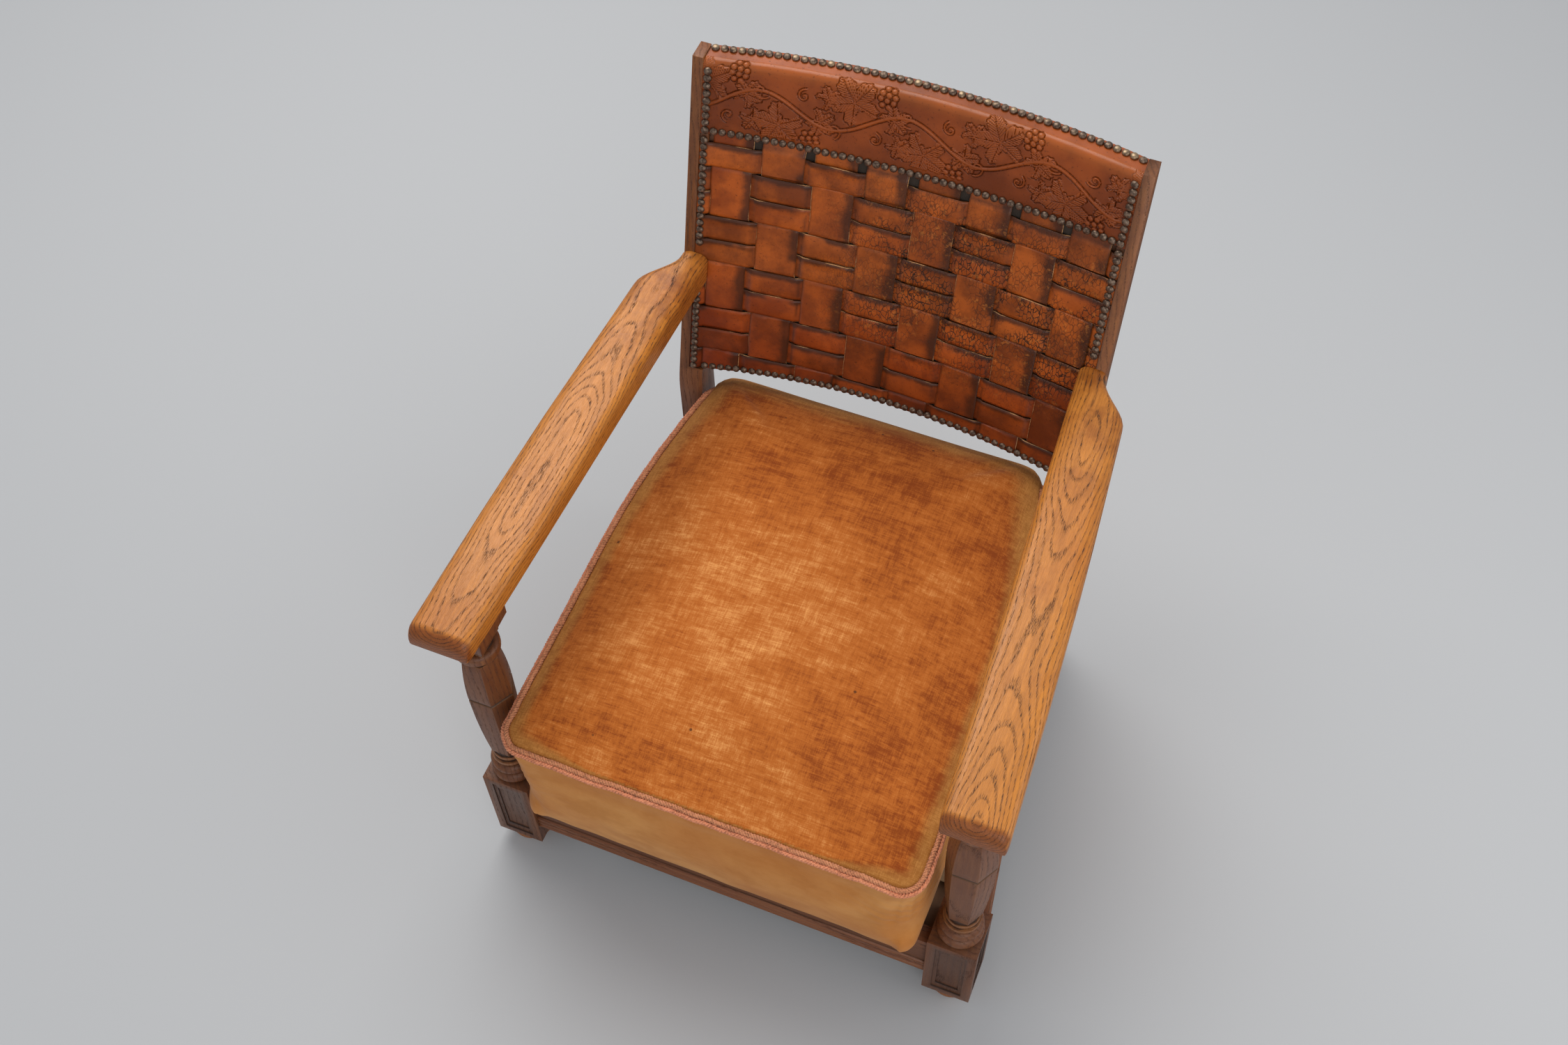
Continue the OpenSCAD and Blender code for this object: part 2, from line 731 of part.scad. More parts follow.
module loft(rings, fan = false) {
    count = len(rings);
    side = len(rings[0]);
    ends = [ring_centre(rings[0]), ring_centre(rings[count - 1])];
    points = concat([for (ring = rings, p = ring) p], fan ? ends : []);
    skin = [
        for (i = [0 : count - 2], j = [0 : side - 1])
        let (
            a = i * side + j,
            b = i * side + (j + 1) % side
        )
        each [[a, b, b + side], [a, b + side, a + side]]
    ];
    first = count * side;
    top = (count - 1) * side;
    fans = [
        for (j = [0 : side - 1])
        let (k = (j + 1) % side)
        each [[first, k, j], [first + 1, top + j, top + k]]
    ];
    flats = [[for (j = [side - 1 : -1 : 0]) j], [for (j = [0 : side - 1]) top + j]];
    polyhedron(points, concat(skin, fan ? fans : flats));
}

module dowel(gap) {
    z = arm_h + arm_rise + arm_rear_t / 2;
    translate([post_outer - strip_w / 2, arm_end - dowel_len / 2 - gap, z]) rotate([-90, 0, 0])
        cylinder(r = dowel_r + gap, h = dowel_len + 2 * gap);
}

module arm() {
    color(oak) difference() {
        loft([for (y = arm_stations) arm_ring(y)]);
        leaning() translate([0, 0, -post_y]) cube([leg_spread, post_y, 3 * post_y]);
        translate([leg_x, leg_y, arm_h - arm_rise])
            cylinder(r = leg_tenon_r + fit, h = arm_rise + leg_tenon_len + fit);
        dowel(fit / 2);
    }
}

// Rails of the back
module back_tenon(low, height, gap) {
    near = bow_at(post_inner) + rail_depth + back_tenon_in;
    translate([post_inner - over, near - gap, low - gap])
        cube([over + back_tenon_len + gap, back_tenon_t + 2 * gap, height + 2 * gap]);
}

module crest_tenon(gap) {
    back_tenon(crest_start + (crest_h - crest_tenon_h) / 2, crest_tenon_h, gap);
}

module low_rail_tenon(gap) {
    back_tenon(panel_start + (low_rail_h - low_tenon_h) / 2, low_tenon_h, gap);
}

module crest_rail() {
    color(oak) {
        difference() {
            leaning() translate([0, 0, crest_start - crest_rail_drop]) linear_extrude(crest_h * 1.5)
                bow_sector(rail_depth, rail_depth + back_rail_t, post_inner);
            translate([-leg_spread, 0, crest_top - leather_t - pad_t - 2 * fit])
                cube([2 * leg_spread, 2 * post_y, crest_h]);
        }
        leaning() {
            crest_tenon(0);
            mirror([1, 0, 0]) crest_tenon(0);
        }
    }
}

module lower_back_rail() {
    color(oak) leaning() {
        difference() {
            translate([0, 0, panel_start]) linear_extrude(arch + low_rail_h)
                bow_sector(rail_depth, rail_depth + back_rail_t, post_inner);
            arch_cut(0);
        }
        low_rail_tenon(0);
        mirror([1, 0, 0]) low_rail_tenon(0);
    }
}

// Crest cover and padding. A place on their section is given by height and depth behind the lean.
function lean_y(z) = post_y + (z - bend_h) * lean;
corner_y = lean_y(crest_top) + crest_round * tan((90 - rake) / 2);

function skin_arc(inset) = [
    for (i = [0 : 5])
    let (a = 180 - rake - (90 - rake) * i / 5)
    [corner_y + (crest_round - inset) * cos(a), crest_top - crest_round + (crest_round - inset) * sin(a)]
];

function skin_foot(z, inset) = [lean_y(z) + inset / cos(rake), z];
function reversed(list) = [for (i = [len(list) - 1 : -1 : 0]) list[i]];

function leather_section() =
    let (back = lean_y(crest_top) + crest_depth)
    concat(
        [skin_foot(crest_bottom, 0)],
        skin_arc(0),
        [[back, crest_top], [back, crest_top - leather_t]],
        reversed(skin_arc(leather_t)),
        [skin_foot(crest_bottom, leather_t)]
    );

function padding_section() =
    let (
        outer = leather_t + fit,
        inner = outer + pad_t,
        back = lean_y(crest_top) + crest_depth,
        foot = crest_bottom + pad_lift * cos(rake)
    )
    concat(
        [skin_foot(foot, outer)],
        skin_arc(outer),
        [[back, crest_top - outer], [back, crest_top - inner]],
        [skin_foot(crest_top - inner, inner), skin_foot(foot, inner)]
    );

module along_crest(section) {
    half = panel_half - fit;
    loft([
        for (x = span(-half, half, 16))
        [for (p = section) [x, p[0] + bow_at(x) / cos(rake), p[1]]]
    ]);
}

module crest_leather() {
    color(crest_brown) along_crest(leather_section());
}

module crest_padding() {
    color(jute) along_crest(padding_section());
}

module back_lining() {
    color(nail_bronze) leaning() translate([0, 0, arch_top + lining_t])
        linear_extrude(strap_end - arch_top - lining_t)
            bow_sector(lining_depth, lining_depth + lining_t, post_inner - fit);
}

module outside_back() {
    near = rail_depth + back_rail_t + fit;
    color(cognac) difference() {
        leaning() difference() {
            translate([0, 0, panel_start]) linear_extrude(crest_start + 2 * crest_h - panel_start)
                bow_sector(near, near + outback_t, post_inner - fit);
            arch_cut(outback_t);
        }
        translate([-leg_spread, 0, crest_top - leather_t - pad_t - 2 * fit])
            cube([2 * leg_spread, 2 * post_y, crest_h]);
    }
}

// Woven straps. Pairs of rows lie on the same side and neighbouring columns alternate.
function upright_in_front(column, row) = (column + floor((row + 1) / 2)) % 2 == 0;
function column_angle(column) = (column - (columns - 1) / 2) * column_turn;

// Point beside a column: u along the face and v behind the middle of the weave
function column_point(column, u, v) =
    let (
        a = column_angle(column),
        r = bow_r + weave_mid + v
    )
    [r * sin(a) + u * cos(a), r * cos(a) - u * sin(a) + bow - bow_r];

// Half width of the outermost straps, cut so that they stop beside the ledge
function outer_reach() = edge_x - column_point(columns - 1, 0, 0)[0];

function level_path(row) =
    let (
        half = column_w / 2 + strap_flat,
        ledge_mid = ledge_depth - fit / 2 - strap_t / 2,
        last = columns - 1,
        end = outer_reach() + strap_flat
    )
    concat(
        [[-panel_half + fit, ledge_mid], [-pocket_half + fit, ledge_mid]],
        [
            for (i = [0 : last])
            let (v = upright_in_front(i, row) ? swing : -swing)
            each [
                column_point(i, i == 0 ? -end : -half, v),
                column_point(i, i == last ? end : half, v)
            ]
        ],
        [[pocket_half - fit, ledge_mid], [panel_half - fit, ledge_mid]]
    );

function upright_path(column) =
    let (
        foot_v = upright_in_front(column, 0) ? -swing : swing,
        head_v = upright_in_front(column, rows - 1) ? -swing : swing,
        dip = weave_end - strap_dip
    )
    concat(
        [[foot_v, panel_start - over]],
        [
            for (row = [1 : rows - 1])
            let (
                z = panel_start + row * row_pitch,
                before = upright_in_front(column, row - 1),
                after = upright_in_front(column, row),
                v = before ? -swing : swing
            )
            if (before != after) each [[v, z - swing], [-v, z + swing]]
        ],
        [[head_v, dip - swing], [swing, dip + swing], [swing, strap_end]]
    );

// Strap of even thickness along a path: across is the axis that the thickness lies on
function strap_outline(path, across) =
    let (shift = across == 0 ? [strap_t / 2, 0] : [0, strap_t / 2])
    concat([for (p = path) p + shift], reversed([for (p = path) p - shift]));

module level_strap(number) {
    row = rows - number;
    width = row_pitch - row_gap;
    color(cognac) leaning() difference() {
        translate([0, 0, panel_start + row * row_pitch + row_gap / 2])
            linear_extrude(width) polygon(strap_outline(level_path(row), 1));
        if (row == 0) arch_cut(0);
    }
}

module upright_strap(number) {
    column = number - 1;
    left = column == 0 ? outer_reach() : column_w / 2;
    right = column == columns - 1 ? outer_reach() : column_w / 2;
    color(cognac) leaning() difference() {
        on_bow(column_angle(column)) translate([-left, weave_mid, 0]) rotate([90, 0, 90])
            linear_extrude(left + right) polygon(strap_outline(upright_path(column), 0));
        arch_cut(0);
    }
}

// Nails
module nail_head() {
    ball = (nail_r * nail_r + nail_dome * nail_dome) / (2 * nail_dome);
    rotate_extrude() intersection() {
        translate([0, nail_dome - ball]) circle(r = ball);
        square([nail_r, nail_dome]);
    }
}

function row_xs(half, pitch) =
    let (count = floor(2 * half / pitch))
    span(-half, half, count);

// Nail that faces the sitter, standing on the given depth of the bow
module face_nail(x, depth, z) {
    turn = asin(x / bow_r);
    leaning() translate([0, 0, z]) on_bow(turn) translate([0, depth, 0]) rotate([90, 0, 0]) nail_head();
}

nail_margin = nail_r + nail_inset;
crest_nail_z = crest_start + nail_r + nail_lift;

module crest_nails() {
    color(nail_bronze) for (x = row_xs(panel_half - nail_margin, nail_pitch)) {
        face_nail(x, -fit, crest_nail_z);
    }
}

module bottom_nails() {
    color(nail_bronze) for (x = row_xs(edge_x - nail_r, nail_pitch)) {
        lift = sqrt(arch_r * arch_r - x * x) - arch_r + arch;
        face_nail(x, -fit / 2, panel_start + lift + nail_r);
    }
}

module side_nails() {
    low = panel_start + nail_r;
    crest_count = floor((crest_h / cos(rake) - 2 * nail_r - crest_round) / side_nail_pitch);
    arm_low = (arm_under(post_y) - bend_h) / cos(rake) - 2 * nail_r;
    arm_high = (arm_over(post_y) - bend_h) / cos(rake) + 2 * nail_r + nail_inset;
    count = floor((crest_nail_z - low) / side_nail_pitch) - 1;
    depth = ledge_depth - strap_t - fit;
    color(nail_bronze) for (i = [0 : count]) {
        z = low + i * side_nail_pitch;
        if (z < arm_low || z > arm_high) {
            leaning() translate([panel_half - nail_margin, depth, z]) rotate([90, 0, 0]) nail_head();
        }
    }
    color(nail_bronze) for (i = [1 : crest_count]) {
        face_nail(panel_half - nail_margin, -fit, crest_nail_z + i * side_nail_pitch);
    }
}

module crest_top_nails() {
    color(nail_bronze) for (x = row_xs(panel_half - nail_margin, nail_pitch)) {
        back = lean_y(crest_top) + bow_at(x) / cos(rake) + crest_depth;
        translate([x, back - nail_r - nail_lift, crest_top + fit / 2]) nail_head();
    }
}

// Seat webbing, woven over and under like the back but flat
function web_over(i, j) = (i + j) % 2 == 0;
function web_path(i, half, pitch, own) =
    let (low = web_z + web_t / 2 + fit / 2)
    concat(
        [[-half, low], [-half + web_tack, low]],
        [
            for (j = [0 : web_count - 1])
            let (
                c = (j - (web_count - 1) / 2) * pitch,
                up = own ? web_over(i, j) : !web_over(i, j),
                z = low + (up ? 2 * web_swing : 0)
            )
            each [[c - web_w / 2 - over, z], [c + web_w / 2 + over, z]]
        ],
        [[half - web_tack, low], [half, low]]
    );
function web_outline(path) = concat(
    [for (p = path) p + [0, web_t / 2]],
    reversed([for (p = path) p - [0, web_t / 2]])
);
web_front = rail_setback + web_inset;
web_rear = rear_rail_y + rail_t - web_inset;
web_depth = (web_rear - web_front) / 2;
web_mid = (web_front + web_rear) / 2;
web_pitch_x = (2 * (post_inner - web_side_gap) - web_w) / (web_count - 1);
web_pitch_y = (post_y - block_w - 2 * (web_w + web_side_gap)) / (web_count - 1);

module webbing_lengthwise() {
    color(jute) for (i = [0 : web_count - 1]) {
        translate([(i - (web_count - 1) / 2) * web_pitch_x - web_w / 2, web_mid, 0])
            rotate([90, 0, 90]) linear_extrude(web_w)
                polygon(web_outline(web_path(i, web_depth, web_pitch_y, true)));
    }
}

module webbing_crosswise() {
    color(jute) for (j = [0 : web_count - 1]) {
        y = web_mid + (j - (web_count - 1) / 2) * web_pitch_y;
        half = side_x(y + web_w / 2) - web_inset;
        translate([0, y + web_w / 2, 0]) rotate([90, 0, 0]) linear_extrude(web_w)
            polygon(web_outline(web_path(j, half, web_pitch_x, false)));
    }
}

// Cushion. Its outline is a list of places with their outward direction and their slack.
function half_at(y) = y < taper_start
    ? side_half
    : side_half - (side_half - tail_half) * pow((y - taper_start) / (post_y - taper_start), 2);

function half_outline() =
    let (
        fr = front_corner_r,
        rr = rear_corner_r,
        fx = side_half - fr,
        fy = cushion_front + fr,
        rx = half_at(cushion_rear - rr) - rr,
        ry = cushion_rear - rr
    )
    concat(
        [for (t = [0, 0.35, 0.7]) [t * fx, cushion_front, 0, -1, 1 - t * t]],
        [for (a = [-90 : 22.5 : 0]) [fx + fr * cos(a), fy + fr * sin(a), cos(a), sin(a), 0]],
        [for (t = [0.2 : 0.2 : 0.8]) let (y = fy + (ry - fy) * t) [half_at(y), y, 1, 0, 4 * t * (1 - t)]],
        [for (a = [0 : 22.5 : 90]) [rx + rr * cos(a), ry + rr * sin(a), cos(a), sin(a), 0]],
        [for (t = [0.7, 0.35, 0]) [t * rx, cushion_rear, 0, 1, 1 - t * t]]
    );

function full_outline() =
    let (
        half = half_outline(),
        last = len(half) - 1
    )
    concat(half, [for (i = [last - 1 : -1 : 1]) [-half[i][0], half[i][1], -half[i][2], half[i][3], half[i][4]]]);

function trim_z(y) = cord_z + cord_rise * (y - cushion_front) / (cushion_rear - cushion_front);

// Rings of the walls at these shares of their height, and of the crown from its edge inwards
wall_shares = [0, 0.03, 0.12, 0.35, 0.6, 0.85, 0.96];
crown_shares = [0.02, 0.06, 0.14, 0.3, 0.5, 0.75];

// The foot is round, the top turns in to the seam, and the walls are drawn in between the corners
function wall_inset(share) =
    let (
        foot = pow(max(0, 1 - share / wall_shares[2]), 3),
        top = max(0, share - wall_shares[5]) / (wall_shares[6] - wall_shares[5])
    )
    wall_gap + foot_round * foot + wall_gap * top;

function wall_ring(share, shell) = [
    for (p = full_outline())
    let (
        inset = wall_inset(share) + waist * sin(180 * share) * p[4] + shell,
        y = p[1] - p[3] * inset,
        lean_in = 1 - (1 - share) * batter / (cushion_rear - cushion_mid),
        low = cushion_z + shell
    )
    [p[0] - p[2] * inset, cushion_mid + (y - cushion_mid) * lean_in, low + (trim_z(y) - low) * share]
];

function seam_ring(shell) = [
    for (p = full_outline())
    let (
        inset = cord_r + loose_gap + shell,
        y = p[1] - p[3] * inset
    )
    [p[0] - p[2] * inset, y, trim_z(y) - shell / 2]
];

function crown_ring(share, shell) = [
    for (p = full_outline())
    let (
        inset = cord_r + loose_gap + shell,
        y = p[1] - p[3] * inset,
        z = trim_z(y) + crown_h * (1 - pow(1 - share, 3.2)) - shell
    )
    [(p[0] - p[2] * inset) * (1 - share), cushion_mid + (y - cushion_mid) * (1 - share), z]
];

module cushion_form(shell) {
    loft(reversed(concat(
        [for (share = wall_shares) wall_ring(share, shell)],
        [seam_ring(shell)],
        [for (share = crown_shares) crown_ring(share, shell)]
    )), fan = true);
}

// Outline of the bottom of the cushion inside its cover
module base_outline(shell) {
    polygon([for (p = wall_ring(0, shell)) [p[0], p[1]]]);
}

module cushion_cover() {
    color(velvet) difference() {
        cushion_form(0);
        cushion_form(cover_t);
        translate([0, 0, cushion_z - over]) linear_extrude(cover_t + 1.5 * over) base_outline(cover_t);
    }
}

module cushion_base() {
    color(jute) translate([0, 0, cushion_z]) linear_extrude(cover_t) base_outline(cover_t + fit);
}

pad_gap = cover_t + loose_gap;
felt_top = cushion_z + pad_gap + low_pad_t;
stuffing_z = cord_z - top_pad_depth;

module cushion_stuffing() {
    color(jute) intersection() {
        cushion_form(pad_gap);
        translate([-leg_spread, -post_y, stuffing_z]) cube([2 * leg_spread, 3 * post_y, back_h]);
    }
}

module cushion_felt() {
    color(jute) intersection() {
        cushion_form(pad_gap);
        translate([-leg_spread, -post_y, 0]) cube([2 * leg_spread, 3 * post_y, felt_top]);
    }
}

// Rope trim: a round tube that closes on itself along the upper edge
module cushion_trim() {
    sides = 8;
    path = full_outline();
    count = len(path);
    points = [
        for (p = path, k = [0 : sides - 1])
        let (out = cord_r * cos(360 * k / sides))
        [p[0] + p[2] * out, p[1] + p[3] * out, trim_z(p[1]) + cord_r * sin(360 * k / sides)]
    ];
    faces = [
        for (i = [0 : count - 1], k = [0 : sides - 1])
        let (
            a = i * sides + k,
            b = i * sides + (k + 1) % sides,
            c = ((i + 1) % count) * sides + (k + 1) % sides,
            d = ((i + 1) % count) * sides + k
        )
        each [[a, c, b], [a, d, c]]
    ];
    color(rope_pink) polyhedron(points, faces);
}

// Coil spring with a waist
module coil_spring() {
    steps = 6 * spring_turns;
    low = felt_top + fit + wire_t / 2;
    high = stuffing_z - fit - wire_t / 2;
    color(steel) loft([
        for (i = [0 : steps])
        let (
            t = i / steps,
            r = spring_r - (spring_r - spring_waist_r) * sin(180 * t),
            z = low + (high - low) * t,
            a = 60 * i
        )
        [for (s = [[-1, -1], [1, -1], [1, 1], [-1, 1]])
            [(r + s[0] * wire_t / 2) * cos(a), (r + s[0] * wire_t / 2) * sin(a), z + s[1] * wire_t / 2]]
    ]);
}

spring_pitch_x = 2 * (tail_half - spring_margin) / spring_count;
spring_pitch_y = (cushion_rear - cushion_front - 2 * spring_margin) / spring_count;

module cushion_springs() {
    for (i = [0 : spring_count - 1], j = [0 : spring_count - 1]) {
        x = (i - (spring_count - 1) / 2) * spring_pitch_x;
        y = cushion_mid + (j - (spring_count - 1) / 2) * spring_pitch_y;
        translate([x, y, 0]) coil_spring();
    }
}

module both_sides() {
    children();
    mirror([1, 0, 0]) children();
}

centred() front_leg();  // front_leg_left
centred() mirror([1, 0, 0]) front_leg();  // front_leg_right
centred() rear_leg();  // rear_leg_left
centred() mirror([1, 0, 0]) rear_leg();  // rear_leg_right
centred() arm();  // arm_left
centred() mirror([1, 0, 0]) arm();  // arm_right
centred() both_sides() color(oak) dowel(0);  // arm_dowels
centred() front_rail();
centred() side_rail();  // side_rail_left
centred() mirror([1, 0, 0]) side_rail();  // side_rail_right
centred() rear_rail();
centred() both_sides() front_brace();  // front_corner_braces
centred() both_sides() rear_brace();  // rear_corner_braces
centred() crest_rail();
centred() lower_back_rail();
centred() crest_padding();
centred() crest_leather();
centred() back_lining();
centred() outside_back();
for (i = [1 : columns]) {
    centred() upright_strap(i);
}
for (i = [1 : rows]) {
    centred() level_strap(i);
}
centred() crest_top_nails();
centred() crest_nails();
centred() bottom_nails();
centred() side_nails();  // left_nails
centred() mirror([1, 0, 0]) side_nails();  // right_nails
centred() webbing_lengthwise();
centred() webbing_crosswise();
centred() cushion_cover();
centred() cushion_base();
centred() cushion_trim();
centred() cushion_stuffing();
centred() cushion_felt();
centred() cushion_springs();
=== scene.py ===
"""Lounge chair: finishes, leather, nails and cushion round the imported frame, in metres."""

import math
import random

import bmesh
import bpy
from bpy.props import FloatProperty, FloatVectorProperty, IntProperty, PointerProperty
from mathutils import Matrix, Vector, bvhtree, kdtree, noise


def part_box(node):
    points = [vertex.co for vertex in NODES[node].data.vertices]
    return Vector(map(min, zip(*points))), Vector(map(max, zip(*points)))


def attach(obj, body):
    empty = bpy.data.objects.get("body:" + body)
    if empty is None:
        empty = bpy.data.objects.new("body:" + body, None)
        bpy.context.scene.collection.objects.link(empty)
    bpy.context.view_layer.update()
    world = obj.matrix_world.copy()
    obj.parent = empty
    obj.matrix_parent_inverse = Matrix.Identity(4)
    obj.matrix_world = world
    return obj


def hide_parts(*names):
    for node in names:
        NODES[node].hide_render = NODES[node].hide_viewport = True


bl_info = {
    "name": "Lounge Chair",
    "version": (1, 0, 0),
    "blender": (4, 5, 0),
    "location": "View3D > Sidebar > Chair",
    "description": "Dresses an oak lounge chair with woven leather and a velvet cushion",
    "category": "Object",
}

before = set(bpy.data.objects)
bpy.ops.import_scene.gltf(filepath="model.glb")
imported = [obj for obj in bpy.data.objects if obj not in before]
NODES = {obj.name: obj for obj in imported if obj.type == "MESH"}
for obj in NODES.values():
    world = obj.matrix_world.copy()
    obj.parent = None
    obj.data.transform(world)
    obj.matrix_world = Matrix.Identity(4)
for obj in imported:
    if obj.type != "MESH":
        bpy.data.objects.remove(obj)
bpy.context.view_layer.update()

MM = 0.001

# Sizes of the chair, as in the CAD frame
FRONT_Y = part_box("front_leg_left")[0].y
POST_Y = FRONT_Y + 533 * MM
BEND_Z = 417 * MM
RAKE = math.radians(14)
LEAN = math.tan(RAKE)
PANEL_HALF = 262 * MM
POCKET_HALF = 252 * MM
EDGE_X = 246 * MM
BOW = 28 * MM
BOW_R = (PANEL_HALF**2 + BOW**2) / (2 * BOW)
COLUMNS = 8
ROWS = 10
STRAP_T = 2.2 * MM
SWING = 1.25 * MM
WEAVE_MID = 2.65 * MM
COLUMN_PITCH = 64 * MM
COLUMN_W = 52 * MM
PANEL_START = 28 * MM
CREST_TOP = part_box("crest_leather")[1].z
CREST_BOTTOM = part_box("crest_leather")[0].z
CREST_START = (CREST_BOTTOM - BEND_Z) / math.cos(RAKE)
TOP_GAP = 9 * MM
ROW_PITCH = (CREST_START - 0.2 * MM - TOP_GAP - PANEL_START) / ROWS
ROW_GAP = 2.4 * MM
ARCH = 13 * MM
ARCH_R = (PANEL_HALF**2 + ARCH**2) / (2 * ARCH)
GROOVE_Z = 397 * MM
FOOT_TOP = 26 * MM
ARM_MID = 312.75 * MM
ARM_TURN = 0.0585


def bow_at(x):
    """How far the bowed back lies behind the posts' faces."""
    return math.sqrt(BOW_R**2 - x * x) - (BOW_R - BOW)


def lean_y(z):
    """Place of the posts' faces at a height."""
    return POST_Y + (z - BEND_Z) * LEAN


def back_point(x, depth, up):
    """Point of the leaning back: depth behind the faces of the posts, up along the lean."""
    return Vector((
        x,
        POST_Y + up * math.sin(RAKE) + depth * math.cos(RAKE),
        BEND_Z + up * math.cos(RAKE) - depth * math.sin(RAKE),
    ))


def blend_step(low, high, value):
    """0 below low and 1 above high, smooth between."""
    t = min(1.0, max(0.0, (value - low) / (high - low)))
    return t * t * (3 - 2 * t)


# Settings

def paint(name, description, default):
    return FloatVectorProperty(name=name, description=description, subtype="COLOR", default=default)


def measure(name, description, default):
    return FloatProperty(name=name, description=description, unit="LENGTH", default=default)


class WoodSettings(bpy.types.PropertyGroup):
    arm_color: paint("Arm colour", "Main colour of the arms", (0.53, 0.185, 0.025))
    dark_color: paint("Dark colour", "Main colour of legs and rails", (0.155, 0.05, 0.018))
    post_color: paint("Post colour", "Main colour of the rear legs", (0.2, 0.066, 0.021))
    edge_round: measure("Edge round", "Rounding of the sharp wooden edges", 0.0012)


class LeatherSettings(bpy.types.PropertyGroup):
    strap_color: paint("Strap colour", "Main colour of the straps", (0.39, 0.078, 0.011))
    crest_color: paint("Crest colour", "Main colour of the crest", (0.225, 0.043, 0.007))
    relief: measure("Relief", "Height of the embossing", 0.0014)
    strap_swell: measure("Strap swell", "How far straps bulge between crossings", 0.0012)


class CushionSettings(bpy.types.PropertyGroup):
    velvet_color: paint("Velvet colour", "Main colour of the velvet", (0.465, 0.126, 0.017))
    rope_color: paint("Rope colour", "Main colour of the rope trim", (0.78, 0.29, 0.15))
    inner_color: paint("Inner row colour", "Colour of the trim's inner row", (0.68, 0.27, 0.13))
    pressure: FloatProperty(
        name="Pressure", description="Pressure of the stuffing in the simulation", default=4.0)
    strands: IntProperty(
        name="Strands", description="Strands in each row of the rope trim", default=3, min=2, max=5)


class StageSettings(bpy.types.PropertyGroup):
    floor_color: paint("Floor colour", "Colour of the floor", (0.49, 0.5, 0.51))
    lens: FloatProperty(
        name="Lens", description="Focal length for a 36 mm sensor", default=40.97)


class ChairSettings(bpy.types.PropertyGroup):
    wood: PointerProperty(type=WoodSettings)
    leather: PointerProperty(type=LeatherSettings)
    cushion: PointerProperty(type=CushionSettings)
    stage: PointerProperty(type=StageSettings)


def settings():
    return bpy.context.scene.lounge_chair


# Shader expressions

class Wire:
    """A shader value. Arithmetic on it adds Math nodes."""

    def __init__(self, finish, socket):
        self.finish = finish
        self.socket = socket

    def math(self, operation, *values, clamp=False):
        options = {"operation": operation, "use_clamp": clamp}
        return self.finish.node("Math", options, dict(enumerate(values)))

    def __add__(self, other):
        return self.math("ADD", self, other)

    __radd__ = __add__

    def __sub__(self, other):
        return self.math("SUBTRACT", self, other)

    def __rsub__(self, other):
        return self.math("SUBTRACT", other, self)

    def __mul__(self, other):
        return self.math("MULTIPLY", self, other)

    __rmul__ = __mul__

    def sine(self):
        return self.math("SINE", self)

    def fraction(self):
        return self.math("FRACT", self)

    def absolute(self):
        return self.math("ABSOLUTE", self)

    def root(self):
        return self.math("SQRT", self)

    def clamped(self):
        return self.math("ADD", self, 0.0, clamp=True)

    def band(self, low, high):
        """0 below low and 1 above high, smooth between."""
        return self.finish.node(
            "MapRange", {"interpolation_type": "SMOOTHSTEP"},
            {"Value": self, "From Min": low, "From Max": high})


class Finish:
    """A material under construction, with its Principled shader."""

    def __init__(self, name, roughness=0.5, **plain):
        self.material = bpy.data.materials.new(name)
        self.material.use_nodes = True
        self.tree = self.material.node_tree
        self.shader = self.tree.nodes["Principled BSDF"]
        self.set("Roughness", roughness)
        for label, value in plain.items():
            self.set(label.replace("_", " "), value)

    def feed(self, socket, value):
        if isinstance(value, Wire):
            self.tree.links.new(value.socket, socket)
        elif socket.type == "RGBA" and len(value) == 3:
            socket.default_value = (*value, 1.0)
        else:
            socket.default_value = value

    def node(self, kind, options=None, values=None, output=0):
        """Adds a node: its settings first, then the values or links of its sockets."""
        node = self.tree.nodes.new("ShaderNode" + kind)
        for key, value in (options or {}).items():
            setattr(node, key, value)
        for key, value in (values or {}).items():
            self.feed(node.inputs[key], value)
        return Wire(self, node.outputs[output])

    def set(self, label, value):
        self.feed(self.shader.inputs[label], value)

    def done(self, color, roughness=None, normal=None):
        """Links what varies over the surface and gives back the material."""
        for label, value in (("Base Color", color), ("Roughness", roughness), ("Normal", normal)):
            if value is not None:
                self.set(label, value)
        return self.material

    def place(self, scale=(1, 1, 1), move=(0, 0, 0)):
        """Object coordinates, moved, then scaled."""
        here = self.node("TexCoord", output=3)
        moved = self.node("Mapping", {"vector_type": "TEXTURE"}, {"Vector": here, "Location": move})
        return self.node("Mapping", {}, {"Vector": moved, "Scale": scale})

    def attribute(self, name):
        return self.node("Attribute", {"attribute_name": name}, output=2)

    def split(self, vector):
        parts = self.node("SeparateXYZ", {}, {0: vector}).socket.node
        return [Wire(self, out) for out in parts.outputs]

    def noise(self, where, scale, detail=3.0, roughness=0.5):
        return self.node("TexNoise", {}, {
            "Vector": where, "Scale": scale, "Detail": detail, "Roughness": roughness})

    def fibres(self, scale, detail=4.0, roughness=0.6, move=(0, 0, 0)):
        """Noise drawn out by its three scales."""
        return self.noise(self.place(scale, move), 1.0, detail, roughness)

    def cells(self, where, scale, feature="F1"):
        return self.node("TexVoronoi", {"feature": feature}, {"Vector": where, "Scale": scale})

    def mix(self, factor, first, second, way="MIX"):
        options = {"data_type": "RGBA", "blend_type": way}
        return self.node("Mix", options, {0: factor, 6: first, 7: second}, output=2)

    def bump(self, height, distance, strength=1.0, below=None):
        values = {"Height": height, "Distance": distance, "Strength": strength}
        if below is not None:
            values["Normal"] = below
        return self.node("Bump", {}, values)


def shade(color, factor):
    return tuple(min(1.0, c * factor) for c in color)


def toward(color, other, share):
    return tuple(a + (b - a) * share for a, b in zip(color, other))


# Finishes: colours that don't follow from the settings, then the materials

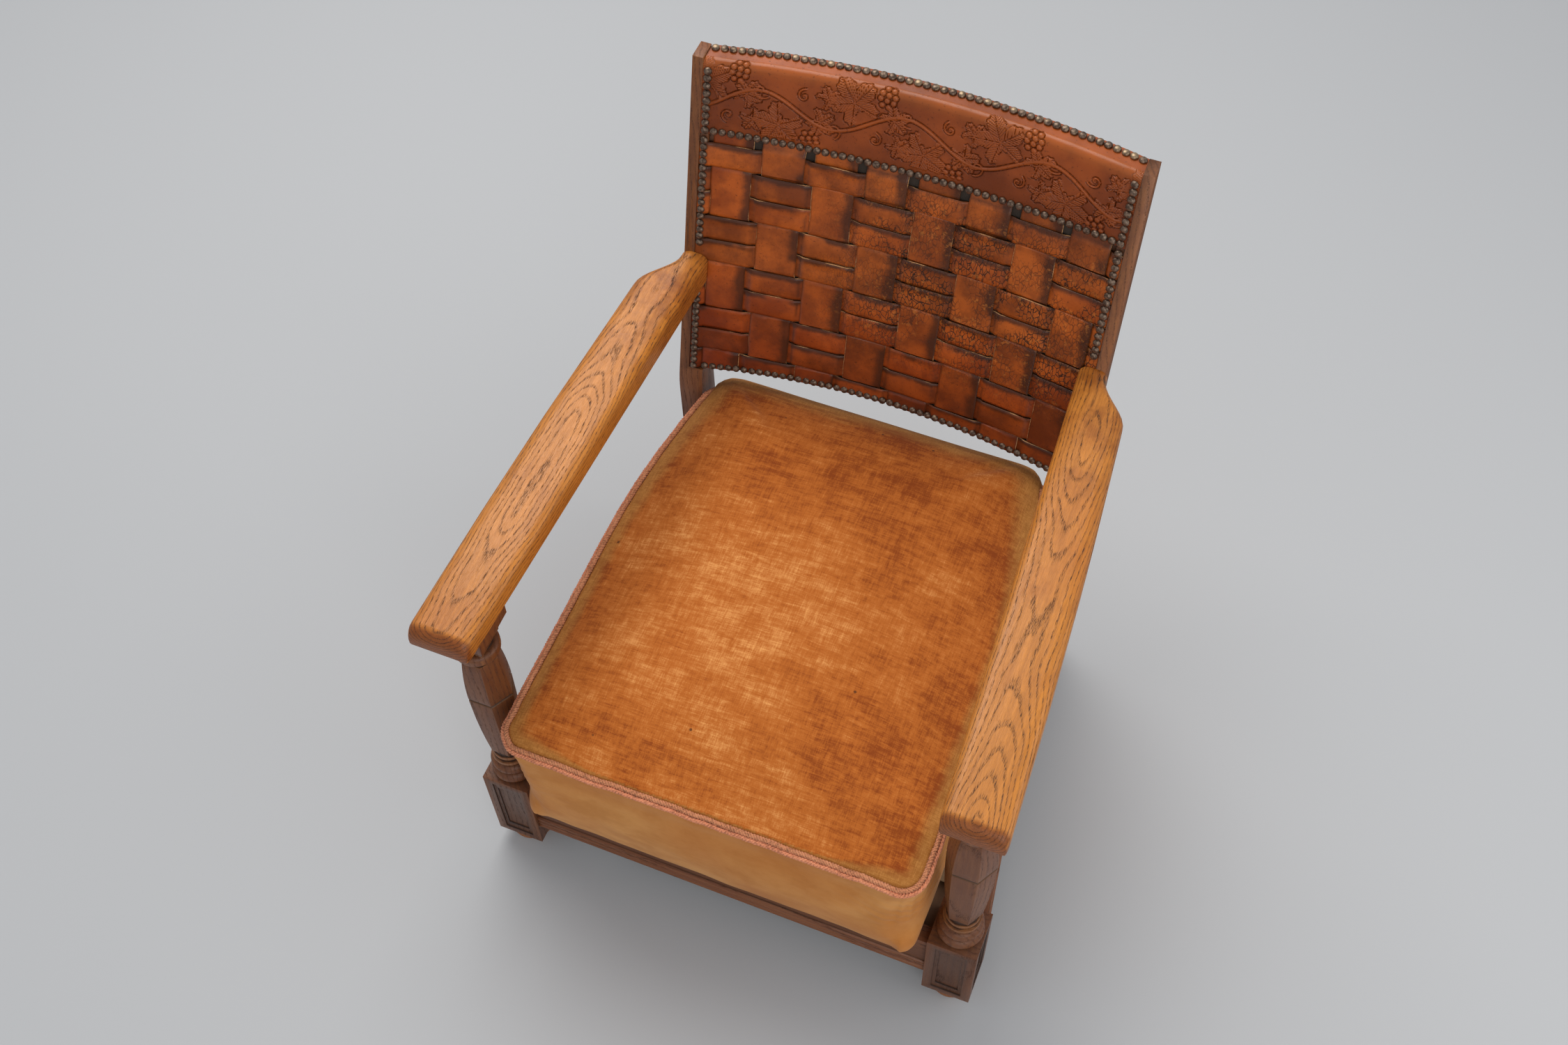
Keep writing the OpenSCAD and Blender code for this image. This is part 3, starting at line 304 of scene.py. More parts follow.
# Near black painted shade for narrow hollows and the legs' groove
HOLLOW_SHADE = (0.016, 0.008, 0.005)
PORE = (0.05, 0.012, 0.004)
RUBBED_OAK = (0.8, 0.36, 0.08)
BARE_FOOT = (0.34, 0.12, 0.035)
# Dark wax, also used as painted shade on strap edges and at crossings
DARK_WAX_AND_SHADE = (0.045, 0.014, 0.006)
CRACK = (0.035, 0.011, 0.004)
# Pale raw hide, partly a painted highlight on the strap edges
RAW_HIDE_AND_GLINT = (0.74, 0.4, 0.17)
SCUFFED_HIDE = (0.76, 0.27, 0.05)
WARM_HIDE = (0.62, 0.145, 0.017)
CREST_WARM = (0.46, 0.1, 0.016)
CREST_RAISED = (0.56, 0.14, 0.028)
# Pale rubbed crest top, partly a painted highlight
CREST_RUB_AND_HIGHLIGHT = (0.44, 0.12, 0.024)
BARE_THREADS = (0.8, 0.36, 0.11)
DEEP_PILE = (0.25, 0.05, 0.005)
OLIVE, PALE_OLIVE = (0.36, 0.15, 0.028), (0.5, 0.235, 0.06)
GOLD, PALE_GOLD, RUST_GOLD = (0.53, 0.22, 0.05), (0.64, 0.3, 0.085), (0.44, 0.13, 0.018)
MOTH_HOLE = (0.09, 0.03, 0.01)
PALE_YARN = (0.7, 0.36, 0.2)
DARK_BRONZE, BRONZE, BRASS = (0.095, 0.062, 0.044), (0.24, 0.17, 0.122), (0.42, 0.3, 0.18)
STEEL, RUST = (0.42, 0.4, 0.38), (0.2, 0.1, 0.05)
PITH_OFF = 55 * MM
ARM_PITH_Z = 568 * MM


def lengthwise(along, run, across):
    """Scales for a grain that runs along one axis."""
    return tuple(run if axis == along else across for axis in "XYZ")


def straight_rings(finish, along, move):
    """Distance from a pith far off to one side: rings cut nearly straight."""
    x, y, z = finish.split(finish.place(lengthwise(along, 0.12, 1), move))
    first, second = {"X": (y, z), "Y": (x, z), "Z": (x, y)}[along]
    second = second + PITH_OFF
    return (first * first + second * second).root()


def arm_rings(finish, side):
    """Distance from a pith that waves just under the arm: rings cut in nested ovals."""
    x, y, z = finish.split(finish.place())
    run = y - FRONT_Y
    off = x - side * ARM_MID + run * (side * ARM_TURN)
    wave = finish.noise(finish.place((0.4, 1, 0.4), (side, 0.3 * side, 0)), 3.0, 2.0)
    depth = run * 0.028 - z + ARM_PITH_Z + wave * 0.115
    return (off * off + depth * depth).root()


def arm_shade_and_grime(finish):
    """Painted shade on the rolled front nose of the arm, and dark grime patches near its rear end.
    """
    _, y, _ = finish.split(finish.place())
    run = y - FRONT_Y
    patches = finish.noise(finish.place(), 22.0, 4.0, 0.65)
    # The rolled nose is darkened as painted shade
    nose = 1 - (run + patches * 0.012).band(-0.012, -0.004)
    rear = run.band(0.33, 0.56) * patches.band(0.4, 0.62)
    return (nose + rear * 0.55 + patches.band(0.52, 0.72) * 0.26).clamped()


def oak(name, color, along, rings=150.0, seed=0.0, gloss=0.42, contrast=1.0, arm=0, feet=False):
    """Oak: rings drawn by rows of fine dark pores, with streaks, grime patches, rubbed edges, and
    painted shade in narrow hollows, in the legs' groove and on the arms' noses.
    """
    finish = Finish(name, Specular_IOR_Level=0.4)
    move = (seed, seed * 0.7, seed * 0.4)
    radius = arm_rings(finish, arm) if arm else straight_rings(finish, along, move)
    wobble = finish.noise(finish.place(lengthwise(along, 0.25, 1), move), 22.0, 4.0, 0.6)
    ring = (radius * rings + wobble * 2.6).fraction()
    early = ring.band(0.0, 0.1) * (1 - ring.band(0.14, 0.46))
    dashes = finish.fibres(lengthwise(along, 95, 1500), 2.0, 0.6, move)
    pores = dashes.band(0.51, 0.58) * (early * 0.95 + 0.16)
    streaks = finish.fibres(lengthwise(along, 7, 210), 4.0, 0.65, move)
    patches = finish.noise(finish.place(move=move), 8.0, 4.0, 0.6)
    pale = toward(shade(color, 1.3), RUBBED_OAK, 0.25)
    deep = shade(color, 0.36)
    light = streaks.band(0.3, 0.72) * contrast
    base = finish.mix(light, shade(color, 0.88), toward(color, pale, 0.5))
    base = finish.mix(early * (0.3 * contrast), base, deep)
    base = finish.mix(pores * (0.25 + 0.6 * contrast), base, toward(shade(color, 0.16), PORE, 0.4))
    base = finish.mix(patches.band(0.45, 0.75) * 0.45, base, (0.75, 0.6, 0.5), "MULTIPLY")
    if arm:
        # Painted shade on the nose, with grime patches
        base = finish.mix(arm_shade_and_grime(finish) * 0.8, base, (0.36, 0.21, 0.15), "MULTIPLY")
    if feet:
        _, _, z = finish.split(finish.place())
        base = finish.mix((1 - z.band(FOOT_TOP - 10 * MM, FOOT_TOP)) * 0.7, base, BARE_FOOT)
        # Painted shade in the turned groove
        groove = 1 - (z - GROOVE_Z).absolute().band(2.2 * MM, 3.6 * MM)
        base = finish.mix(groove * 0.88, base, HOLLOW_SHADE)
    edges = finish.attribute("wear")
    base = finish.mix(edges * 0.4, base, pale)
    # Painted shade in narrow hollows
    base = finish.mix(finish.attribute("hollow_shade") * 0.85, base, HOLLOW_SHADE)
    roughness = gloss + pores * 0.25 + patches * 0.14 - edges * 0.06
    grain = finish.bump(1 - pores, 0.0004, 0.6)
    return finish.done(base, roughness, finish.bump(streaks + early * 0.3, 0.0006, 0.25, grain))


def plain_wood(name, color):
    finish = Finish(name, 0.7)
    streaks = finish.fibres((90, 9, 60))
    base = finish.mix(streaks.band(0.3, 0.7), shade(color, 0.7), color)
    return finish.done(base, normal=finish.bump(streaks, 0.0005, 0.3))


def cracked(finish, where, scale):
    """Net of fine cracks, mostly upright: 1 on a crack."""
    values = {"Vector": where, "Scale": scale * 0.5, "Detail": 3.0}
    warp = finish.node("TexNoise", {}, values, output=1)
    warp = finish.node("VectorMath", {"operation": "SCALE"}, {0: warp, "Scale": 1.3 / scale})
    moved = finish.node("VectorMath", {"operation": "ADD"}, {0: where, 1: warp})
    stretched = finish.node("Mapping", {}, {"Vector": moved, "Scale": (1.0, 0.5, 0.5)})
    return 1 - finish.cells(stretched, scale, "DISTANCE_TO_EDGE").band(0.015, 0.1)


def strap_leather(name, color, seed=0.0, upright=0.0):
    """Waxed hide with cracks and specks; dark wax along its edges, partly painted shade there;
    painted shade where it dips at crossings; a painted shadow towards the bottom, most at the left;
    pale frayed edges, partly a painted highlight.
    """
    finish = Finish(name, Specular_IOR_Level=0.35)
    where = finish.place(move=(seed, seed * 1.7, seed * 0.3))
    x, _, z = finish.split(finish.place())
    u, _, _ = finish.split(finish.node("UVMap", {"uv_map": "strap"}))
    dip = finish.attribute("dip")
    patches = finish.noise(where, 13.0, 4.0, 0.6)
    clouds = finish.noise(where, 48.0, 5.0, 0.65)
    specks = finish.noise(where, 300.0, 3.0, 0.65)
    warm = toward(color, WARM_HIDE, 0.5)
    base = finish.mix(patches.band(0.36, 0.64), shade(color, 0.66), warm)
    base = finish.mix(clouds.band(0.42, 0.72) * 0.55, base, shade(color, 0.5))
    base = finish.mix(specks.band(0.6, 0.7) * 0.55, base, shade(color, 0.2))
    low = 1 - z.band(0.44, 0.66)
    left = 1 - x.band(-0.24, -0.05)
    shadow = (low * 0.75 + left * low * 0.25).clamped()
    base = finish.mix(shadow, base, (0.55, 0.36, 0.36), "MULTIPLY")
    ragged = finish.noise(where, 34.0, 4.0, 0.65)
    heavy = finish.noise(where, 9.0, 3.0, 0.6)
    heavy = heavy.band(0.38 - 0.06 * upright, 0.48 - 0.06 * upright)
    rim = (u - 0.5).absolute() * 2
    # Dark edges: wax along one edge, partly painted shade there; painted shade along both edges and
    # where the strap dips under its neighbour
    edge_wax_and_shade = (u + ragged * 0.42).band(0.92 - 0.04 * upright, 1.12) * heavy
    edge_shade = (rim + ragged * 0.4).band(1.08, 1.3) * 0.6
    wax_and_shade = (edge_wax_and_shade * 0.95 + edge_shade + dip * (ragged.band(0.3, 0.6) * 0.75)).clamped()
    base = finish.mix(wax_and_shade * 0.88, base, DARK_WAX_AND_SHADE)
    dry = x.band(-0.14, 0.02) * z.band(0.5, 0.58) * (1 - z.band(0.72, 0.8))
    where_dry = finish.noise(where, 17.0, 3.0, 0.6).band(0.36, 0.48)
    cracks = cracked(finish, where, 215.0) * where_dry * (dry * (1.0 - 0.45 * upright) + 0.08)
    base = finish.mix(cracks * 0.92, base, CRACK)
    scuffs = finish.noise(where, 120.0, 4.0, 0.7).band(0.56, 0.66) * where_dry * dry
    base = finish.mix(scuffs * 0.3, base, SCUFFED_HIDE)
    # Pale frayed edges, partly a painted highlight where light catches the cut edge
    fray = (rim + (finish.noise(where, 380.0, 2.0) - 0.5) * 0.07).band(0.97, 0.995)
    torn_and_glint = fray * (finish.noise(where, 24.0, 2.0).band(0.52, 0.64) * 0.85 + 0.04)
    base = finish.mix(torn_and_glint * 0.9, base, RAW_HIDE_AND_GLINT)
    roughness = 0.36 + clouds * 0.16 + torn_and_glint * 0.3 + cracks * 0.25 - wax_and_shade * 0.06
    grain = finish.bump(finish.noise(where, 900.0, 2.0, 0.6), 0.0001, 0.3)
    height = clouds * 0.8 + specks * 0.3 - cracks * 0.9
    return finish.done(base, roughness, finish.bump(height, 0.0008, 0.4, grain))


def plain_hide(name, color):
    """Dull outside hide: soft clouds, a fine grain and a few long scuffs."""
    finish = Finish(name, Specular_IOR_Level=0.35)
    where = finish.place()
    clouds = finish.noise(where, 6.0, 5.0, 0.55)
    grain = finish.noise(where, 420.0, 3.0, 0.6)
    scuffs = finish.fibres((9, 9, 60), 4.0, 0.7).band(0.6, 0.72)
    base = finish.mix(clouds.band(0.3, 0.7), shade(color, 0.78), shade(color, 1.12))
    base = finish.mix(grain.band(0.55, 0.75) * 0.4, base, shade(color, 0.5))
    base = finish.mix(scuffs * 0.3, base, shade(color, 1.8))
    roughness = 0.42 + clouds * 0.12 + scuffs * 0.15
    return finish.done(base, roughness, finish.bump(grain, 0.0003, 0.4))


def crest_hide(name, color):
    """Tooled hide: dark wax in the cut lines, partly painted shade there; worn high places; pale
    rubbed top edge, partly a painted highlight.
    """
    finish = Finish(name, Specular_IOR_Level=0.35)
    where = finish.place()
    relief = finish.attribute("relief")
    rub = finish.attribute("rub")
    patches = finish.noise(where, 7.0, 4.0, 0.6)
    clouds = finish.noise(where, 42.0, 5.0, 0.65)
    warm = toward(color, CREST_WARM, 0.5)
    base = finish.mix(patches.band(0.36, 0.66), shade(color, 0.72), warm)
    base = finish.mix(clouds.band(0.42, 0.72) * 0.4, base, shade(color, 0.62))
    base = finish.mix(relief.band(0.15, 0.9) * 0.32, base, toward(color, CREST_RAISED, 0.6))
    # Cut lines: dark wax, partly painted shade in the cuts
    cut_wax_and_shade = 1 - relief.band(-0.55, -0.05)
    base = finish.mix(cut_wax_and_shade * 0.55, base, shade(color, 0.3))
    # Rubbed rounded top edge and top, partly a painted highlight
    base = finish.mix(rub * 0.4, base, CREST_RUB_AND_HIGHLIGHT)
    specks = finish.noise(where, 300.0, 3.0, 0.6).band(0.61, 0.69)
    base = finish.mix(specks * 0.5, base, shade(color, 0.3))
    roughness = 0.3 + clouds * 0.14 + cut_wax_and_shade * 0.12 - rub * 0.05
    grain = finish.bump(finish.noise(where, 850.0, 2.0, 0.6), 0.0001, 0.35)
    tooled = finish.bump(relief, 0.0012, 0.6, grain)
    return finish.done(base, roughness, finish.bump(clouds + specks * 0.4, 0.0005, 0.3, tooled))


def velvet(name, color):
    """Worn pile: crossed streaks of crushed pile, bare threads, olive borders that are partly
    painted shade on the crown's rounding, moth holes.
    """
    finish = Finish(name, 0.85, Sheen_Weight=0.08, Sheen_Roughness=0.4, Specular_IOR_Level=0.2)
    where = finish.place()
    rim = finish.attribute("rim")
    wall = finish.attribute("wall")
    broad = finish.fibres((3.4, 4.6, 4), 3.0, 0.55)
    middling = finish.fibres((17, 24, 20))
    cross = finish.fibres((22, 150, 120), 4.0, 0.65)
    down = finish.fibres((170, 20, 120), 4.0, 0.65)
    warp = finish.fibres((60, 820, 400), 2.0)
    weft = finish.fibres((820, 60, 400), 2.0)
    threads = warp * 0.5 + weft * 0.5
    x, y, _ = finish.split(where)
    across, forward = x + 0.03, y - FRONT_Y - 0.22
    seat = 1 - (across * across + forward * forward).root().band(0.04, 0.24)
    wear = broad * 0.95 + middling * 0.75 + cross * 0.8 + down * 0.5 + threads * 1.1
    # More bare pile in the seat; darker pile near the seam, partly painted shade on the crown's
    # rounding
    wear += seat * 0.2 - rim * 0.22 - 0.05
    base = finish.mix(wear.band(1.66, 2.12), DEEP_PILE, color)
    base = finish.mix(wear.band(2.04, 2.7) * (1 - wall * 0.7), base, BARE_THREADS)
    olive = finish.mix(threads.band(0.35, 0.65), OLIVE, PALE_OLIVE)
    # Olive border along the seam, partly painted shade where the crown rounds down to it
    border_and_shade = (rim + (middling - 0.5) * 0.7 + (cross - 0.5) * 0.8).band(0.2, 1.05)
    base = finish.mix(border_and_shade * 0.75, base, olive)
    gold = finish.mix(middling.band(0.32, 0.68), GOLD, PALE_GOLD)
    gold = finish.mix(broad.band(0.42, 0.62) * 0.45, gold, RUST_GOLD)
    base = finish.mix(wall * 0.9, base, gold)
    holes = finish.cells(where, 12.0).band(0.015, 0.028)
    base = finish.mix((1 - holes) * 0.85, base, MOTH_HOLE)
    pile = finish.bump(threads * 0.7 + cross * 0.6, 0.0008, 0.5)
    return finish.done(base, 0.75 + threads * 0.2, finish.bump(middling, 0.002, 0.2, pile))


def chenille(name, color):
    """Twisted yarn with short tufts, dark specks among them and pale rubbed patches."""
    finish = Finish(name, 0.95, Sheen_Weight=0.08, Specular_IOR_Level=0.2)
    where = finish.place()
    tufts = finish.noise(where, 330.0, 4.0, 0.75)
    worn = finish.noise(where, 22.0, 3.0, 0.6)
    base = finish.mix(tufts.band(0.34, 0.58), shade(color, 0.5), color)
    pale = toward(shade(color, 1.25), PALE_YARN, 0.4)
    rubbed = finish.mix(tufts.band(0.3, 0.6), shade(color, 0.75), pale)
    base = finish.mix(worn.band(0.42, 0.66) * 0.6, base, rubbed)
    return finish.done(base, normal=finish.bump(tufts, 0.0014, 0.9))


def bronze(name, bright):
    """Nail heads: dark patina with rubbed tops. bright is the share of rubbed brass."""
    finish = Finish(name, 0.4, Metallic=0.8)
    where = finish.place()
    patina = finish.noise(where, 260.0, 3.0, 0.6)
    rubbed = finish.noise(where, 75.0, 2.0, 0.6)
    dark = finish.mix(patina.band(0.4, 0.65), DARK_BRONZE, BRONZE)
    base = finish.mix(rubbed.band(0.68 - bright, 0.9 - bright) * 0.8, dark, BRASS)
    return finish.done(base, 0.32 + patina * 0.25, finish.bump(patina, 0.0002, 0.3))


def woven_cloth(name, color, pitch):
    """Plain weave of the given thread pitch in metres, in the plane of X and Z or X and Y."""
    finish = Finish(name, 0.9)
    x, y, z = finish.split(finish.place())
    turns = math.tau / pitch
    warp = (x * turns).sine()
    weft = ((y + z) * turns).sine()
    threads = (warp * weft + 1) * 0.5
    worn = finish.noise(finish.place(), 30.0, 3.0)
    base = finish.mix(threads, shade(color, 0.5), color)
    base = finish.mix(worn.band(0.4, 0.7) * 0.4, base, shade(color, 1.4))
    return finish.done(base, normal=finish.bump(threads, 0.0004, 0.5))


def steel_wire(name):
    finish = Finish(name, 0.4, Metallic=0.9)
    rust = finish.noise(finish.place(), 160.0, 4.0, 0.6).band(0.5, 0.7)
    return finish.done(finish.mix(rust, STEEL, RUST))


def floor_finish(name, color):
    """Pale matt floor."""
    return Finish(name, 0.9).done(color)


# Mesh helpers, with the limits that sort edges into rubbed edges, hollows of painted shade and
# plain edges

WELD = 0.02 * MM
SHARP_ANGLE = 35.0
STRIP_W = 4.2 * MM
HOLLOW_ANGLE = 12.0
# How far the painted shade spreads from a hollow
SHADE_REACH = 2.2 * MM


def waver(x, y, z):
    """Smooth noise between about -1 and 1."""
    return noise.noise(Vector((x, y, z)))


def new_piece(name, bm, material, smooth_angle=SHARP_ANGLE):
    mesh = bpy.data.meshes.new(name)
    bm.to_mesh(mesh)
    bm.free()
    piece = bpy.data.objects.new(name, mesh)
    bpy.context.scene.collection.objects.link(piece)
    mesh.materials.append(material)
    mesh.shade_smooth()
    mesh.set_sharp_from_angle(angle=math.radians(smooth_angle))
    return piece


def finish_node(node, material):
    """Gives a CAD node a finish of its own."""
    piece = NODES[node]
    piece.data.materials.clear()
    piece.data.materials.append(material)


def merged_copy(node):
    """A bmesh of a CAD node with its loose triangles joined into whole faces."""
    bm = bmesh.new()
    bm.from_mesh(NODES[node].data)
    bmesh.ops.remove_doubles(bm, verts=bm.verts, dist=WELD)
    bmesh.ops.dissolve_limit(
        bm, angle_limit=math.radians(0.8), verts=bm.verts, edges=bm.edges,
        use_dissolve_boundaries=False)
    return bm


def set_attribute(piece, name, values):
    layer = piece.data.attributes.new(name, "FLOAT", "POINT")
    layer.data.foreach_set("value", values)


def mark_edges(piece, sharp):
    """Marks rubbed polish on narrow rounded edges and painted shade in narrow hollows."""
    bm = bmesh.new()
    bm.from_mesh(piece.data)
    wear = [0.0] * len(bm.verts)
    hollow_shade = [0.0] * len(bm.verts)
    wide = {face for face in bm.faces if face.calc_area() * 2 > face.calc_perimeter() * STRIP_W}
    for vert in bm.verts:
        if any(face in wide for face in vert.link_faces):
            continue
        turns = [
            edge.calc_face_angle_signed(0.0) for edge in vert.link_edges
            if len(edge.link_faces) == 2]
        wear[vert.index] = float(max(turns, default=0.0) > math.radians(sharp))
        # Narrow hollows get painted shade
        hollow_shade[vert.index] = float(min(turns, default=0.0) < -math.radians(HOLLOW_ANGLE))
    hollow = [vert for vert in bm.verts if hollow_shade[vert.index]]
    for vert in hollow:
        for edge in vert.link_edges:
            if edge.calc_length() < SHADE_REACH:
                other = edge.other_vert(vert).index
                hollow_shade[other] = max(hollow_shade[other], 0.5)
                wear[other] = 0.0
    bm.free()
    set_attribute(piece, "wear", wear)
    set_attribute(piece, "hollow_shade", hollow_shade)


def eased_piece(node, ending, material, width, rubbed=12.0):
    """Stands for a CAD node: the same shape with its sharp edges eased."""
    piece = new_piece(f"{node}.{ending}", merged_copy(node), material)
    ease = piece.modifiers.new("Ease", "BEVEL")
    ease.width = width
    ease.segments = 2
    ease.limit_method = "ANGLE"
    ease.angle_limit = math.radians(28)
    ease.use_clamp_overlap = True
    apply_modifiers(piece)
    piece.data.set_sharp_from_angle(angle=math.radians(SHARP_ANGLE))
    mark_edges(piece, rubbed)
    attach(piece, "chair")
    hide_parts(node)


def apply_modifiers(piece):
    """Turns the live modifiers of a piece into its mesh."""
    bpy.context.view_layer.update()
    graph = bpy.context.evaluated_depsgraph_get()
    baked = bpy.data.meshes.new_from_object(piece.evaluated_get(graph))
    old = piece.data
    piece.modifiers.clear()
    piece.data = baked
    bpy.data.meshes.remove(old)


def skin_rings(bm, rings, closed=False):
    """Joins rings of vertices, each to the next."""
    after = rings[1:] + rings[:1] if closed else rings[1:]
    for low, high in zip(rings, after):
        for k in range(len(low)):
            j = (k + 1) % len(low)
            bm.faces.new((low[k], low[j], high[j], high[k]))


def in_order(parts):
    """Parts of a mesh by their index, each once, so that sums are the same each run."""
    return sorted(set(parts), key=lambda part: part.index)


def islands(bm):
    """Groups of joined vertices."""
    seen = set()
    groups = []
    for start in bm.verts:
        if start in seen:
            continue
        seen.add(start)
        group = [start]
        for vert in group:
            for edge in vert.link_edges:
                other = edge.other_vert(vert)
                if other not in seen:
                    seen.add(other)
                    group.append(other)
        groups.append(group)
    return groups


# Wooden pieces

def build_front_legs():
    wood = settings().wood
    finish = oak(
        "Dark oak legs", wood.dark_color, "Z", seed=0.3, gloss=0.34, contrast=0.45, feet=True)
    for side in ("left", "right"):
        eased_piece(f"front_leg_{side}", "skin", finish, wood.edge_round)


def build_arms():
    wood = settings().wood
    for side, way in (("left", 1), ("right", -1)):
        finish = oak(f"Honey oak {side}", wood.arm_color, "Y", 235.0, 1.6 + way * 0.7, 0.3, arm=way)
        eased_piece(f"arm_{side}", "skin", finish, wood.edge_round, rubbed=26.0)


def build_rear_legs():
    wood = settings().wood
    finish = oak("Brown oak posts", wood.post_color, "Z", seed=1.4, gloss=0.36, contrast=0.55)
    for side in ("left", "right"):
        eased_piece(f"rear_leg_{side}", "skin", finish, wood.edge_round)


def build_rails():
    wood = settings().wood
    rail_color = shade(wood.dark_color, 1.3)
    across = oak("Dark oak rails across", rail_color, "X", seed=0.6, gloss=0.32, contrast=0.5)
    along = oak("Dark oak rails along", rail_color, "Y", seed=1.1, gloss=0.34, contrast=0.5)
    bare = plain_wood("Bare hardwood", (0.19, 0.1, 0.048))
    for node, finish in (
            ("front_rail", across), ("rear_rail", across),
            ("side_rail_left", along), ("side_rail_right", along)):
        eased_piece(node, "skin", finish, wood.edge_round, rubbed=50.0)
    for node in ("front_corner_braces", "rear_corner_braces", "crest_rail",
                 "lower_back_rail", "arm_dowels"):
        finish_node(node, bare)


# Leather pieces: gaps and thicknesses of the woven panel

SLACK = 0.2 * MM
ARCH_GAP = 0.4 * MM
SAG = 3.5 * MM
LEDGE_DEPTH = 1.8 * MM
UNDER_CREST = 11 * MM
LINING_GAP = 0.57 * MM
LINING_ROOM = 1.2 * MM
BACK_RAIL_T = 17 * MM
OUTSIDE_GAP = 0.8 * MM


def upright_in_front(column, row):
    """Whether the upright strap lies over the level one at a crossing."""
    return (column + (row + 1) // 2) % 2 == 0


def column_x(column):
    angle = (column - (COLUMNS - 1) / 2) * COLUMN_PITCH / BOW_R
    return (BOW_R + WEAVE_MID) * math.sin(angle)


def column_reach(column, side):
    """Half width of an upright strap towards one side."""
    if (column == 0 and side < 0) or (column == COLUMNS - 1 and side > 0):
        return EDGE_X - abs(column_x(column))
    return COLUMN_W / 2


def arch_lift(x):
    return math.sqrt(ARCH_R**2 - x * x) - ARCH_R + ARCH


def weave_side(steps, place, margin):
    """Depth from -1 (front) to 1 (behind) at a place along a list of (low, high, side) flats."""
    for i, (low, high, side) in enumerate(steps):
        if place <= high + margin or i == len(steps) - 1:
            if place >= low - margin or i == 0:
                return side
            before = steps[i - 1]
            share = blend_step(before[1] + margin, low - margin, place)
            return before[2] + (side - before[2]) * share


def grid_piece(name, columns, rows, point, thickness, material):
    """Sheet whose point(u, v) gives its middle and how deep it dips, u and v from 0 to 1."""
    bm = bmesh.new()
    bmesh.ops.create_grid(bm, x_segments=columns, y_segments=rows, size=0.5, calc_uvs=False)
    layer = bm.loops.layers.uv.new("strap")
    for face in bm.faces:
        for loop in face.loops:
            loop[layer].uv = (loop.vert.co.x + 0.5, loop.vert.co.y + 0.5)
    dip = bm.verts.layers.float.new("dip")
    for vert in bm.verts:
        vert.co, vert[dip] = point(vert.co.x + 0.5, vert.co.y + 0.5)
    piece = new_piece(name, bm, material, 40.0)
    solid = piece.modifiers.new("Thickness", "SOLIDIFY")
    solid.thickness = thickness
    solid.offset = 0
    solid.use_even_offset = True
    apply_modifiers(piece)
    return piece


def build_level_straps():
    leather = settings().leather
    for row in range(ROWS):
        number = ROWS - row
        tone = hide_tone(leather.strap_color, row)
        finish = strap_leather(f"Strap hide {number}", tone, row * 0.37)
        flats = [
            (column_x(i) - column_reach(i, -1), column_x(i) + column_reach(i, 1),
             1.0 if upright_in_front(i, row) else -1.0)
            for i in range(COLUMNS)
        ]
        low = PANEL_START + row * ROW_PITCH + ROW_GAP / 2
        high = low + ROW_PITCH - ROW_GAP
        drift = random.Random(row)
        phase = drift.uniform(0, 9)
        curls = [max(0.0, drift.uniform(-1.6, 2.6)) * MM for _ in range(COLUMNS)]

        def point(u, v):
            # v runs along the strap and u across it
            x = (v * 2 - 1) * (PANEL_HALF - SLACK)
            side = weave_side(flats, x, 1.5 * MM)
            rim = abs(u - 0.5) * 2
            front = max(0.0, -side)
            swell = leather.strap_swell * front * (1 - rim**2.5)
            wave = waver(x * 22, phase, u) * 0.9 * MM
            foot = max(low, PANEL_START + arch_lift(x) + ARCH_GAP) if row == 0 else low
            up = foot + (high - foot) * u + wave * (0.6 if row else 0.2)
            up -= SAG * (row / (ROWS - 1)) ** 2 * max(0.0, 1 - (x / PANEL_HALF) ** 2)
            depth = bow_at(x) + WEAVE_MID + side * SWING - swell
            depth += front * 0.35 * MM * waver(x * 40, phase + 3, u * 2)
            over_ledge = blend_step(EDGE_X + 1 * MM, POCKET_HALF, abs(x))
            depth += (LEDGE_DEPTH - depth) * over_ledge
            lift = curls[min(range(COLUMNS), key=lambda i: abs(x - column_x(i)))]
            lift *= front * blend_step(0.6, 1.0, u) * (1 - over_ledge)
            return back_point(x, depth - lift, up + lift * 0.4), 1 - abs(side)

        piece = grid_piece(f"level_strap_{number}.hide", 10, 176, point, STRAP_T, finish)
        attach(piece, "chair")
        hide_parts(f"level_strap_{number}")


def build_upright_straps():
    leather = settings().leather
    top = CREST_START + UNDER_CREST
    for column in range(COLUMNS):
        tone = hide_tone(leather.strap_color, column + 20)
        finish = strap_leather(f"Upright hide {column + 1}", tone, column * 0.61 + 5, 1.0)
        flats = [
            (PANEL_START + row * ROW_PITCH, PANEL_START + (row + 1) * ROW_PITCH,
             -1.0 if upright_in_front(column, row) else 1.0)
            for row in range(ROWS)
        ]
        flats.append((CREST_START - 1 * MM, top, 1.0))
        phase = column * 3.7

        def point(u, v):
            # v runs up the strap and u across it
            reach = column_reach(column, -1) + column_reach(column, 1)
            edge = waver(v * 9, phase, 1.0) * 0.7 * MM
            x = column_x(column) - column_reach(column, -1) + reach * u + edge * (u - 0.5) * 2
            start = PANEL_START + arch_lift(x) + ARCH_GAP
            up = start + (top - start) * v
            side = weave_side(flats, up, -1.6 * MM)
            rim = abs(u - 0.5) * 2
            front = max(0.0, -side)
            swell = leather.strap_swell * front * (1 - rim**4)
            dent = front * 0.3 * MM * waver(u * 3, up * 45, phase)
            depth = bow_at(x) + WEAVE_MID + side * SWING - swell + dent
            return back_point(x, depth, up), 1 - abs(side)

        piece = grid_piece(f"upright_strap_{column + 1}.hide", 18, 150, point, STRAP_T, finish)
        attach(piece, "chair")
        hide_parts(f"upright_strap_{column + 1}")


